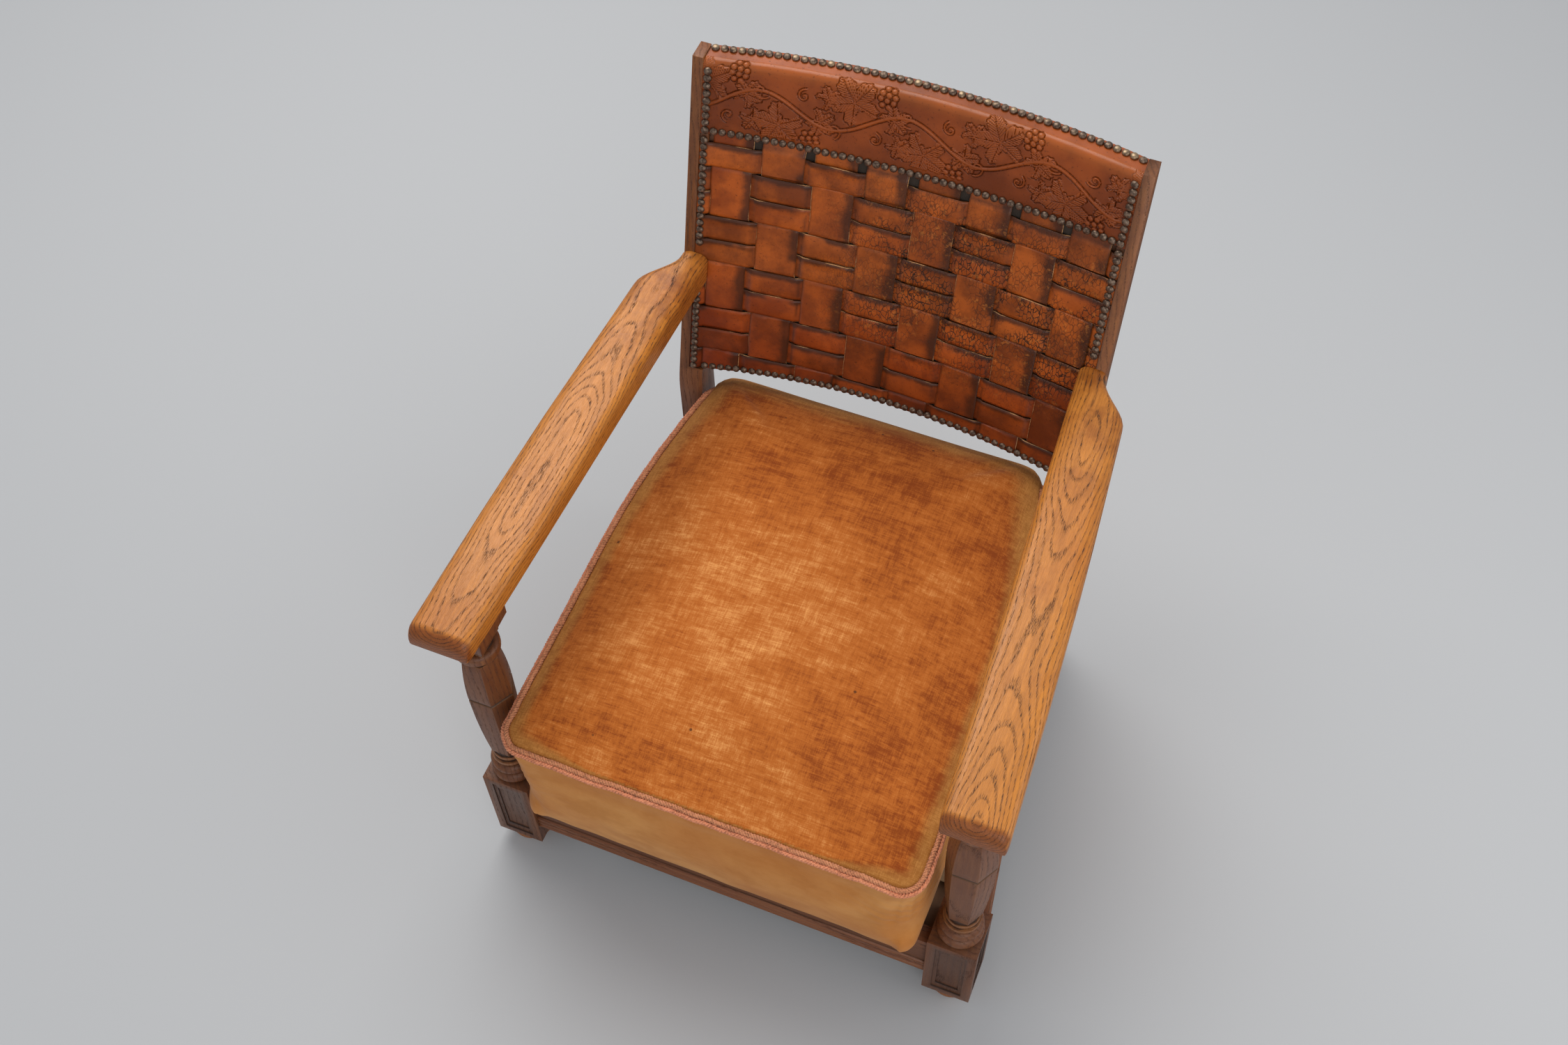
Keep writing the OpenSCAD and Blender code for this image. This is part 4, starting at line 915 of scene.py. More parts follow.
def hide_tone(color, seed):
    """The colour of one strap, a little different from its neighbours."""
    tone = random.Random(seed * 7 + 1)
    light = tone.uniform(0.8, 1.2)
    warm = tone.uniform(-0.12, 0.12)
    return (color[0] * light, color[1] * light * (1 + warm), color[2] * light * (1 + 2 * warm))


def build_back_sheets():
    hide = plain_hide("Back hide", (0.17, 0.058, 0.023))
    cloth = woven_cloth("Lining cloth", (0.05, 0.036, 0.026), 0.0016)
    rail_depth = WEAVE_MID + SWING + STRAP_T / 2 + LINING_GAP + LINING_ROOM
    outer = rail_depth + BACK_RAIL_T + OUTSIDE_GAP
    half = POCKET_HALF - 9.2 * MM

    def outside(u, v):
        x = (u * 2 - 1) * half
        low = PANEL_START + arch_lift(x) + 1.4 * MM
        high = (CREST_TOP - 9 * MM - BEND_Z) / math.cos(RAKE) + bow_at(x) * LEAN
        up = low + (high - low) * v
        wave = 0.8 * MM * waver(x * 7, up * 5, 2.0)
        inside = 1 - blend_step(0.9, 1.0, abs(u * 2 - 1))
        return back_point(x, bow_at(x) + outer + (wave - 0.6 * MM) * inside, up), 0.0

    def lining(u, v):
        x = (u * 2 - 1) * (half - SLACK)
        low = PANEL_START + ARCH + 1.2 * MM
        up = low + (CREST_START + UNDER_CREST - low) * v
        return back_point(x, bow_at(x) + rail_depth - 0.7 * MM, up), 0.0

    piece = grid_piece("outside_back.hide", 60, 70, outside, 1.2 * MM, hide)
    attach(piece, "chair")
    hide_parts("outside_back")
    piece = grid_piece("back_lining.cloth", 40, 20, lining, 0.8 * MM, cloth)
    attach(piece, "chair")
    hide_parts("back_lining")


# Embossing of the crest, in metres along x and up the front from the nails

VINE_PERIOD = 176 * MM
VINE_MID = 49 * MM
VINE_SWING = 18 * MM
VINE_START = 2.2


def vine_height(x):
    return VINE_MID + VINE_SWING * math.sin(x * math.tau / VINE_PERIOD + VINE_START)


def ridge(distance, width):
    """Rounded ridge of unit height across its middle line, with a cut line beside it."""
    t = distance / width
    if t < 1:
        return math.sqrt(1 - t * t)
    return -max(0.0, 1 - abs(distance - width - 0.7 * MM) / (0.8 * MM))


def leaf(dx, dz, size, turn):
    """Five-lobed leaf with a toothed, cut outline and cut veins with side veins."""
    distance = math.hypot(dx, dz)
    if distance > size * 1.2:
        return 0.0
    angle = math.atan2(dz, dx) - turn
    angle = math.atan2(math.sin(angle), math.cos(angle))
    lobe = abs(math.cos(angle * 2.5))
    notch = 0.5 if abs(angle) > 2.7 else 1.0
    reach = size * (0.5 + 0.5 * lobe**0.75) * notch * (1 - 0.12 * abs(angle) / math.pi)
    reach *= 1 + 0.045 * math.sin(angle * 21)
    past = distance - reach
    if past > 0:
        return -max(0.0, 1 - abs(past - 0.7 * MM) / (0.9 * MM))
    body = min(1.0, -past / (1.6 * MM))
    spread = math.tau / 5
    off = (angle + spread / 2) % spread - spread / 2
    vein = max(0.0, 1 - abs(off) * distance / (0.75 * MM)) if distance > 1.5 * MM else 0.0
    stripe = (distance - abs(off) * distance * 1.1) / (3.4 * MM)
    side_vein = 0.0
    if distance > 4 * MM:
        side_vein = max(0.0, 1 - abs(stripe % 1 - 0.5) * 3.4 * MM / (0.55 * MM))
    return body * (0.55 + 0.3 * distance / size) * (1 - 1.7 * max(vein, side_vein * 0.75))


def grapes(dx, dz, size, turn):
    """Hanging bunch of round grapes."""
    if math.hypot(dx, dz) > size * 2.2:
        return 0.0
    along = dx * math.cos(turn) + dz * math.sin(turn)
    across = -dx * math.sin(turn) + dz * math.cos(turn)
    radius = size * 0.27
    gap = min(
        math.hypot(along - k * radius * 1.8, across - (i - (count - 1) / 2) * radius * 2.1)
        for k, count in enumerate((2, 3, 3, 2, 1)) for i in range(count))
    return ridge(gap, radius * 0.92)


def tendril(dx, dz, size, turn, way):
    """Curl that winds in on itself."""
    distance = math.hypot(dx, dz)
    if distance > size * 1.3 or distance < size * 0.12:
        return 0.0
    angle = (math.atan2(dz, dx) * way - turn) % math.tau
    best = min(abs(distance - size * math.exp(-0.26 * (angle + k * math.tau))) for k in range(2))
    return 0.8 * ridge(best, 1.1 * MM)


def vine_stamps():
    """Leaves, bunches and tendrils along the vine as (function, x, z, reach, extra values)."""
    stamps = []
    rnd = random.Random(4)
    half = VINE_PERIOD / 2
    for k in range(13):
        x = -3 * VINE_PERIOD + k * half + 20 * MM
        z = vine_height(x)
        up = 1 if z < VINE_MID else -1
        turn = rnd.uniform(-0.3, 0.3)
        for shape, along, off, size, extra in (
                (leaf, -13, 27, 33, (up * 1.9 + turn,)),
                (leaf, 36, 15, 20, (up * 0.8 - turn,)),
                (grapes, 23, 32, 14, (up * 1.35,)),
                (leaf, 44, -17, 17, (-up * 0.8 + turn,)),
                (tendril, -36, -14, 12, (rnd.uniform(0, 6), up)),
                (tendril, 15, -15, 10, (rnd.uniform(0, 6), -up))):
            stamps.append((shape, x + along * MM, z + up * off * MM, size * MM, extra))
    return stamps


def relief_at(x, z, stamps):
    """Height of the tooling from -1, a cut line, to 1."""
    slope = VINE_SWING * math.tau / VINE_PERIOD * math.cos(x * math.tau / VINE_PERIOD + VINE_START)
    high = 0.9 * ridge(abs(z - vine_height(x)) / math.hypot(1, slope), 2.2 * MM)
    low = min(0.0, high)
    for shape, cx, cz, size, extra in stamps:
        if abs(x - cx) < size * 2.2 and abs(z - cz) < size * 2.2:
            rise = shape(x - cx, z - cz, size, *extra)
            high = max(high, rise)
            low = min(low, rise)
    rim = blend_step(6 * MM, 9 * MM, z)
    return (high if high > 0.02 else low) * rim


def build_crest():
    leather = settings().leather
    stamps = vine_stamps()
    round_r = 9 * MM
    half = PANEL_HALF - 0.3 * MM
    depth_top = 27 * MM
    corner_y = lean_y(CREST_TOP) + round_r * math.tan((math.pi / 2 - RAKE) / 2)
    arc_low = CREST_TOP - round_r + round_r * math.sin(math.pi - RAKE)
    face_len = (arc_low - CREST_BOTTOM) / math.cos(RAKE)
    arc_len = round_r * (math.pi / 2 - RAKE)
    front_len = face_len + arc_len
    flat_len = lean_y(CREST_TOP) + depth_top - corner_y
    total = front_len + flat_len

    def point(u, v):
        """Place, height of the tooling and rubbing, partly a painted highlight, of one point of the
        hide.
        """
        x = (v * 2 - 1) * half
        run = u * total
        ends = 1 - blend_step(0.915, 0.96, abs(v * 2 - 1))
        rub = 0.0
        if run < face_len:
            z = CREST_BOTTOM + run * math.cos(RAKE)
            place = Vector((lean_y(z), z))
            out = Vector((-math.cos(RAKE), math.sin(RAKE)))
        elif run < front_len:
            angle = math.pi - RAKE - (run - face_len) / round_r
            out = Vector((math.cos(angle), math.sin(angle)))
            place = Vector((corner_y, CREST_TOP - round_r)) + out * round_r
            rub = 1.0
        else:
            place = Vector((corner_y + run - face_len - arc_len, CREST_TOP))
            out = Vector((0.0, 1.0))
            rub = 0.35
        rise = relief_at(x, run, stamps) if run < front_len else 0.0
        swell = 2.2 * MM * ends * math.sin(math.pi * min(1.0, run / front_len)) ** 0.7
        soft = 0.6 * MM * waver(x * 16, run * 20, 1.0) * ends
        soft += 0.25 * MM * waver(x * 60, run * 60, 4.0)
        place += out * (leather.relief * rise * ends + swell + soft - 0.4 * MM)
        near_edge = blend_step(face_len - 10 * MM, face_len + 2 * MM, run)
        if run < front_len:
            rub = max(rub, near_edge * 0.8)
        return Vector((x, place.x + bow_at(x) / math.cos(RAKE), place.y)), rise, rub

    finish = crest_hide("Crest hide", leather.crest_color)
    bm = bmesh.new()
    bmesh.ops.create_grid(bm, x_segments=170, y_segments=540, size=0.5)
    relief = bm.verts.layers.float.new("relief")
    rub = bm.verts.layers.float.new("rub")
    for vert in bm.verts:
        vert.co, vert[relief], vert[rub] = point(vert.co.x + 0.5, vert.co.y + 0.5)
    border_and_shade = [edge for edge in bm.edges if edge.is_boundary]
    turned = bmesh.ops.extrude_edge_only(bm, edges=border_and_shade)["geom"]
    inward = Vector((0, math.cos(RAKE), -math.sin(RAKE))) * 1.6 * MM
    edge = [part for part in turned if isinstance(part, bmesh.types.BMVert)]
    bmesh.ops.translate(bm, verts=edge, vec=inward)
    bmesh.ops.recalc_face_normals(bm, faces=bm.faces)
    forward = Vector((0, -1, 1))
    front = max(bm.faces, key=lambda face: face.calc_center_median().dot(forward))
    if front.normal.dot(forward) < 0:
        bmesh.ops.reverse_faces(bm, faces=bm.faces)
    piece = new_piece("crest.hide", bm, finish, 60)
    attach(piece, "chair")
    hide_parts("crest_leather", "crest_padding")


# Nails: radius and height of a head, and its profile at unit size

NAIL_R = 5.0 * MM
NAIL_H = 3.8 * MM
NAIL_PROFILE = ((0, 0), (1, 0), (1, 0.16), (0.93, 0.45), (0.7, 0.8), (0.38, 0.96), (0, 1))


def nail_places(node):
    """Centre of the base and outward direction of each nail of a CAD node."""
    bm = bmesh.new()
    bm.from_mesh(NODES[node].data)
    bmesh.ops.remove_doubles(bm, verts=bm.verts, dist=WELD)
    bm.verts.index_update()
    bm.faces.index_update()
    places = []
    for group in islands(bm):
        buckets = {}
        for face in in_order(face for vert in group for face in vert.link_faces):
            key = tuple(round(c, 2) for c in face.normal)
            area, faces = buckets.get(key, (0.0, []))
            buckets[key] = (area + face.calc_area(), faces + [face])
        _, base = max(buckets.values(), key=lambda pair: pair[0])
        rim = in_order(vert for face in base for vert in face.verts)
        centre = sum((vert.co for vert in rim), Vector()) / len(rim)
        places.append((centre, -base[0].normal))
    bm.free()
    return places


def nail_dome(sides):
    """Domed head one unit high and wide from its axis, spun from its profile."""
    bm = bmesh.new()
    line = [bm.verts.new((radius, 0, height)) for radius, height in NAIL_PROFILE]
    edges = [bm.edges.new(pair) for pair in zip(line, line[1:])]
    bmesh.ops.spin(
        bm, geom=line + edges, axis=(0, 0, 1), cent=(0, 0, 0), angle=math.tau, steps=sides,
        use_merge=True)
    bmesh.ops.remove_doubles(bm, verts=bm.verts, dist=0.0001)
    bmesh.ops.recalc_face_normals(bm, faces=bm.faces)
    dome = bpy.data.meshes.new("Nail dome")
    bm.to_mesh(dome)
    bm.free()
    return dome


def build_nails():
    dull = bronze("Antique bronze", 0.0)
    # Brighter copy for the top-row nails: rubbed brass, partly a painted highlight where they face
    # up
    bright = bronze("Rubbed and lit bronze", 0.22)
    rnd = random.Random(11)
    dome = nail_dome(12)
    for node in ("crest_top_nails", "crest_nails", "bottom_nails", "left_nails", "right_nails"):
        bm = bmesh.new()
        for centre, out in nail_places(node):
            lean = Vector((rnd.uniform(-1, 1), rnd.uniform(-1, 1), rnd.uniform(-1, 1))) * 0.07
            axis = (out + lean).normalized()
            frame_of = axis.to_track_quat("Z", "Y").to_matrix().to_4x4()
            size = rnd.uniform(0.95, 1.02)
            turn = rnd.uniform(0, 1)
            slide = Vector((rnd.uniform(-1, 1), 0, rnd.uniform(-1, 1))) * 0.25 * MM
            if node == "crest_top_nails":
                slide = Vector((rnd.uniform(-1, 1), rnd.uniform(-1, 1), 0)) * 0.25 * MM
            place = Matrix.Translation(centre + slide + out * 0.5 * MM) @ frame_of
            made = len(bm.verts)
            bm.from_mesh(dome)
            bm.verts.ensure_lookup_table()
            bmesh.ops.transform(
                bm, verts=bm.verts[made:],
                matrix=place @ Matrix.Rotation(turn, 4, "Z")
                @ Matrix.Diagonal((NAIL_R * size, NAIL_R * size, NAIL_H * size, 1)))
        piece = new_piece(f"{node}.heads", bm, bright if node == "crest_top_nails" else dull, 60)
        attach(piece, "chair")
        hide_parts(node)


# Cushion: its outline and trim, its walls and crown, its stuffing and the rope's strands

CUSHION_FRONT = FRONT_Y - 34 * MM
FRONT_R = 30 * MM
REAR_R = 34 * MM
CUSHION_REAR = FRONT_Y + 574 * MM
CUSHION_MID = (CUSHION_FRONT + CUSHION_REAR) / 2
CUSHION_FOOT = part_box("cushion_base")[0].z
CORD_R = 6 * MM
TRIM_Z = 393 * MM
TRIM_RISE = 15 * MM
SIDE_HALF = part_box("cushion_trim")[1].x - CORD_R
TAIL_HALF = 235.2 * MM
TAPER_START = FRONT_Y + 250 * MM
CROWN = 38 * MM
BATTER = 27 * MM
FRONT_BATTER = 8 * MM
WAIST = 5 * MM
FOOT_TUCK = 12 * MM
WALL_INSET = 3 * MM
CROWN_INSET = 4.2 * MM
WALL_SHARES = (0.0, 0.03, 0.07, 0.13, 0.22, 0.32, 0.42, 0.52, 0.62, 0.72, 0.81, 0.89, 0.95)
CROWN_SHARES = (0.0, 0.02, 0.05, 0.1, 0.17, 0.27, 0.4, 0.55, 0.72, 0.88)
SETTLE_FRAMES = 20
CLOTH = {
    "quality": 3, "mass": 0.35, "tension_stiffness": 14, "compression_stiffness": 8,
    "shear_stiffness": 5, "bending_stiffness": 0.25, "use_pressure": True, "pin_stiffness": 3,
}
ROPE_PITCH = 11 * MM
STRAND_R = 1.75 * MM
STRAND_SIDES = 6


def half_at(y):
    """Half the cushion's width, which tapers between the rear posts."""
    if y < TAPER_START:
        return SIDE_HALF
    return SIDE_HALF - (SIDE_HALF - TAIL_HALF) * ((y - TAPER_START) / (POST_Y - TAPER_START)) ** 2


def add_corner(places, x, y, radius, turn, step):
    """Adds the places of a corner rounded about x and y, after turn quarters."""
    count = max(3, round(radius * math.pi / 2 / step))
    for i in range(count):
        angle = math.pi / 2 * (i / count + turn)
        nx, ny = math.cos(angle), math.sin(angle)
        places.append((x + radius * nx, y + radius * ny, nx, ny, 0.0))


def half_outline(step):
    """Places from mid front round to mid rear: x, y, outward x and y, slack."""
    front_x, front_y = SIDE_HALF - FRONT_R, CUSHION_FRONT + FRONT_R
    rear_x, rear_y = half_at(CUSHION_REAR - REAR_R) - REAR_R, CUSHION_REAR - REAR_R
    places = []
    count = round(front_x / step)
    for i in range(count):
        t = i / count
        places.append((t * front_x, CUSHION_FRONT, 0.0, -1.0, 1 - t * t))
    add_corner(places, front_x, front_y, FRONT_R, -1, step)
    count = round((rear_y - front_y) / step)
    for i in range(count):
        t = i / count
        y = front_y + (rear_y - front_y) * t
        places.append((half_at(y), y, 1.0, 0.0, 4 * t * (1 - t)))
    add_corner(places, rear_x, rear_y, REAR_R, 0, step)
    count = round(rear_x / step)
    for i in range(count + 1):
        t = 1 - i / count
        places.append((t * rear_x, CUSHION_REAR, 0.0, 1.0, 1 - t * t))
    return places


def outline(step):
    """Places all round the cushion, about one step apart."""
    half = half_outline(step)
    return half + [(-x, y, -nx, ny, slack) for x, y, nx, ny, slack in reversed(half[1:-1])]


def trim_point(x, y):
    """Height of the trim, with the soft waves and the drooping corner of the worn cushion."""
    z = TRIM_Z + TRIM_RISE * (y - CUSHION_FRONT) / (CUSHION_REAR - CUSHION_FRONT)
    wave = waver(x * 9, y * 9, 0.4) * 2.4 * MM
    away = ((x - SIDE_HALF) / 0.07) ** 2 + ((y - CUSHION_FRONT) / 0.07) ** 2
    return z + wave - math.exp(-away) * 5 * MM


def cushion_rings(inset_all):
    """Rings of the cushion from its foot to its crown, as lists of points."""
    places = outline(12 * MM)
    foot_z = CUSHION_FOOT + 1 * MM
    rings = []
    for share in WALL_SHARES:
        foot = max(0.0, 1 - share / 0.13) ** 3
        ring = []
        for x, y, nx, ny, slack in places:
            inset = WALL_INSET + FOOT_TUCK * foot
            inset += WAIST * math.sin(math.pi * share) * slack
            inset += inset_all
            inset += max(0.0, share - 0.85) * 18 * MM
            ear = (abs(nx * ny) * 2) ** 0.5 * max(0.0, -ny) * 11 * MM
            inset -= ear * math.exp(-((share - 0.16) / 0.11) ** 2)
            at_y = y - ny * inset
            batter = FRONT_BATTER if at_y < CUSHION_MID else BATTER
            lean = 1 - (1 - share) * batter / (CUSHION_REAR - CUSHION_MID)
            z = foot_z + (trim_point(x, y) - foot_z) * share
            ring.append(Vector((x - nx * inset, CUSHION_MID + (at_y - CUSHION_MID) * lean, z)))
        rings.append(ring)
    for share in CROWN_SHARES:
        ring = []
        for x, y, nx, ny, _ in places:
            rear = blend_step(CUSHION_MID, CUSHION_REAR, y)
            inset = CROWN_INSET + inset_all
            px = (x - nx * inset) * (1 - share)
            py = CUSHION_MID + (y - ny * inset - CUSHION_MID) * (1 - share)
            rise = CROWN * (1 - (1 - share) ** (3.4 + 6 * rear))
            ring.append(Vector((px, py, trim_point(x, y) + 1 * MM + rise)))
        rings.append(ring)
    return rings


def simulate(piece, held, pressure, cap):
    """Fills the piece with air and lets its cloth settle. held says how firmly a point is held."""
    rest = [vert.co.copy() for vert in piece.data.vertices]
    group = piece.vertex_groups.new(name="held")
    for vert in piece.data.vertices:
        group.add([vert.index], held(vert.co), "REPLACE")
    cloth = piece.modifiers.new("Cloth", "CLOTH")
    for label, value in CLOTH.items():
        setattr(cloth.settings, label, value)
    cloth.settings.uniform_pressure_force = pressure
    cloth.settings.effector_weights.gravity = 0
    cloth.settings.vertex_group_mass = "held"
    cloth.collision_settings.use_collision = False
    cloth.point_cache.frame_start = 1
    cloth.point_cache.frame_end = SETTLE_FRAMES
    for step in range(1, SETTLE_FRAMES + 1):
        bpy.context.scene.frame_set(step)
    apply_modifiers(piece)
    bpy.context.scene.frame_set(1)
    for vert, start in zip(piece.data.vertices, rest):
        move = vert.co - start
        if move.length > cap:
            vert.co = start + move.normalized() * cap


def seam_distance(tree, point):
    return tree.find(point)[2]


def pull_to_seam(piece, places, seam):
    """Brings a settled cover back out to its seam."""
    mesh = piece.data
    tree = bvhtree.BVHTree.FromPolygons(
        [vert.co for vert in mesh.vertices], [polygon.vertices for polygon in mesh.polygons])
    outs = [Vector((nx, ny, 0.0)) for _, _, nx, ny, _ in places]
    short = []
    for (x, y, *_), out in zip(places, outs):
        goal = Vector((x, y, trim_point(x, y) + 1 * MM))
        hit = tree.ray_cast(goal + out * 60 * MM, -out)[0]
        short.append(0.0 if hit is None else (goal - hit).dot(out) - 4 * MM)
    count = len(places)
    even = [sum(short[(i + k) % count] for k in range(-2, 3)) / 5 for i in range(count)]
    for vert in mesh.vertices:
        _, i, distance = seam.find(vert.co)
        vert.co += outs[i] * (even[i] * (1 - blend_step(10 * MM, 50 * MM, distance)))


def build_cushion():
    look = settings().cushion
    bm = bmesh.new()
    made = [[bm.verts.new(co) for co in ring] for ring in cushion_rings(1 * MM)]
    count = len(made[0])
    skin_rings(bm, made)
    for ring in (made[0], made[-1]):
        centre = bm.verts.new(sum((vert.co for vert in ring), Vector()) / count)
        for k in range(count):
            bm.faces.new((ring[k], ring[(k + 1) % count], centre))
    bmesh.ops.recalc_face_normals(bm, faces=bm.faces)
    finish = velvet("Rust gold velvet", look.velvet_color)
    piece = new_piece("cushion.velvet", bm, finish, 180)
    places = outline(8 * MM)
    seam = kdtree.KDTree(len(places))
    for i, (x, y, nx, ny, _) in enumerate(places):
        seam.insert(Vector((x - nx * 5 * MM, y - ny * 5 * MM, trim_point(x, y))), i)
    seam.balance()
    remesh = piece.modifiers.new("Remesh", "REMESH")
    remesh.mode = "VOXEL"
    remesh.voxel_size = 6.4 * MM
    apply_modifiers(piece)
    foot = CUSHION_FOOT + 8 * MM

    def held(co):
        if co.z < foot:
            return 1.0
        return max(0.0, 1 - max(0.0, seam_distance(seam, co) - 4 * MM) / (7 * MM))

    simulate(piece, held, look.pressure, 24 * MM)
    pull_to_seam(piece, places, seam)
    dress_cushion(piece, seam)
    smooth = piece.modifiers.new("Smooth", "SUBSURF")
    smooth.levels = smooth.render_levels = 1
    apply_modifiers(piece)
    set_attribute(piece, "rim", [rim_of(vert.co, seam) for vert in piece.data.vertices])
    set_attribute(piece, "wall", [
        1 - blend_step(-9 * MM, 1 * MM, vert.co.z - trim_point(vert.co.x, vert.co.y))
        for vert in piece.data.vertices])
    piece.data.shade_smooth()
    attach(piece, "cushion")
    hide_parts("cushion_cover", "cushion_base", "cushion_stuffing", "cushion_felt")


def rim_of(co, seam):
    """How much a point belongs to the olive border along the seam, widest at the rear; the border
    is partly painted shade on the crown's rounding.
    """
    rear = blend_step(CUSHION_MID, CUSHION_REAR, co.y)
    side = blend_step(0.5 * SIDE_HALF, SIDE_HALF, abs(co.x))
    reach = (6 + 34 * side + 60 * rear) * MM
    return 1 - blend_step(4 * MM, reach, seam_distance(seam, co))


def dress_cushion(piece, seam):
    """Pleats and folds at the front corners, creases on the walls and soft dents."""
    for vert in piece.data.vertices:
        co = vert.co
        height = co.z - trim_point(co.x, co.y)
        distance = seam_distance(seam, co)
        soft = blend_step(6 * MM, 40 * MM, distance)
        low = waver(co.x * 7, co.y * 7, co.z * 7) * 2.2 * MM
        fine = waver(co.x * 26, co.y * 26, co.z * 26) * 0.7 * MM
        push = (low + fine) * soft
        for side in (-1, 1):
            dx, dy = co.x - side * SIDE_HALF, co.y - CUSHION_FRONT
            away = math.hypot(dx, dy)
            if height > -120 * MM and away < 0.16:
                angle = math.atan2(dy, -side * dx)
                fold = math.sin(angle * 13 + 1.3 * side) * math.exp(-away / 0.055)
                push += fold * 2.4 * MM * blend_step(4 * MM, 14 * MM, distance)
                if height < -0.02:
                    pleat = math.sin((co.x * side * 0.6 + co.z) * 330) * math.exp(-abs(dx) / 0.05)
                    size = (2.0 if side > 0 else 1.0) * MM
                    push += pleat * size * blend_step(0.02, 0.07, -height)
        if height < 0:
            runs = waver(co.x * 20 + co.y * 20, 0.0, co.z * 5) * 1.6 * MM
            push += runs * soft
        co += vert.normal * push
        co.z = max(co.z, CUSHION_FOOT + 0.3 * MM)
    piece.data.update()


def rope_row(name, path, outs, away, raised, way, material):
    """One row of the trim: strands laid up round a line beside the seam."""
    strands = settings().cushion.strands
    count = len(path)
    middle = [path[i] + outs[i] * away + Vector((0, 0, raised)) for i in range(count)]
    length = sum((middle[i] - middle[i - 1]).length for i in range(count))
    turns = round(length / ROPE_PITCH) * way
    up = Vector((0, 0, 1))
    bm = bmesh.new()
    for strand in range(strands):
        rings = []
        for i in range(count):
            angle = math.tau * (turns * i / count + strand / strands)
            wobble = noise.noise(middle[i] * 60 + Vector((strand, away * 900, 0))) * 0.5 * MM
            side = (outs[i] * math.cos(angle) + up * math.sin(angle)).normalized()
            centre = middle[i] + side * (STRAND_R + wobble)
            along = (middle[(i + 1) % count] - middle[i - 1]).normalized()
            twist = up * math.cos(angle) - outs[i] * math.sin(angle)
            along = (along + twist * (way * STRAND_R * math.tau / ROPE_PITCH)).normalized()
            side = (side - along * side.dot(along)).normalized()
            other = along.cross(side)
            fluff = STRAND_R * (1 + 0.12 * noise.noise(middle[i] * 420 + Vector((strand, 0, 0))))
            ring = []
            for k in range(STRAND_SIDES):
                a = math.tau * k / STRAND_SIDES
                spoke = side * math.cos(a) + other * math.sin(a)
                ring.append(bm.verts.new(centre + spoke * fluff))
            rings.append(ring)
        skin_rings(bm, rings, closed=True)
    bmesh.ops.recalc_face_normals(bm, faces=bm.faces)
    piece = new_piece(name, bm, material, 180)
    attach(piece, "cushion")
    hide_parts("cushion_trim")


def build_trim():
    look = settings().cushion
    places = outline(1.7 * MM)
    outs = [Vector((nx, ny, 0.0)) for _, _, nx, ny, _ in places]
    path = []
    for (x, y, *_), out in zip(places, outs):
        tuck = blend_step(CUSHION_REAR - 45 * MM, CUSHION_REAR - 8 * MM, y)
        wave = waver(x * 45, y * 45, 3.1) * 0.9 * MM
        inward = 6 * MM * tuck + 1.5 * MM * abs(out.x) + wave
        path.append(Vector((x, y, trim_point(x, y) - 13 * MM * tuck + wave)) - out * inward)
    outer = chenille("Salmon chenille", look.rope_color)
    inner = chenille("Olive chenille", look.inner_color)
    rope_row("cushion_trim.outer_row", path, outs, 2.8 * MM, -0.6 * MM, 1, outer)
    rope_row("cushion_trim.inner_row", path, outs, -1.3 * MM, 3.2 * MM, -1, inner)


def build_seat():
    jute = woven_cloth("Jute webbing", (0.3, 0.2, 0.11), 0.0024)
    for node in ("webbing_lengthwise", "webbing_crosswise"):
        eased_piece(node, "bands", jute, 0.0004)
    finish_node("cushion_springs", steel_wire("Spring wire"))


# Stage

CAMERA_PLACE = (0.4415, -0.7815 + FRONT_Y, 2.3049)
CAMERA_AZIMUTH, CAMERA_ELEVATION, CAMERA_ROLL = map(math.radians, (23.46, 56.38, -1.925))
LIT_POINT = (0.0, 0.0, 0.45)
SKY = (0.93, 0.95, 1.0, 1.0)
SKY_STRENGTH = 0.47


def area_light(name, place, size, power, color):
    data = bpy.data.lights.new(name, "AREA")
    data.shape = "DISK"
    data.size = size
    data.energy = power
    data.color = color
    light = bpy.data.objects.new(name, data)
    bpy.context.scene.collection.objects.link(light)
    light.location = place
    light.rotation_euler = (Vector(LIT_POINT) - Vector(place)).to_track_quat("-Z", "Y").to_euler()
    return light


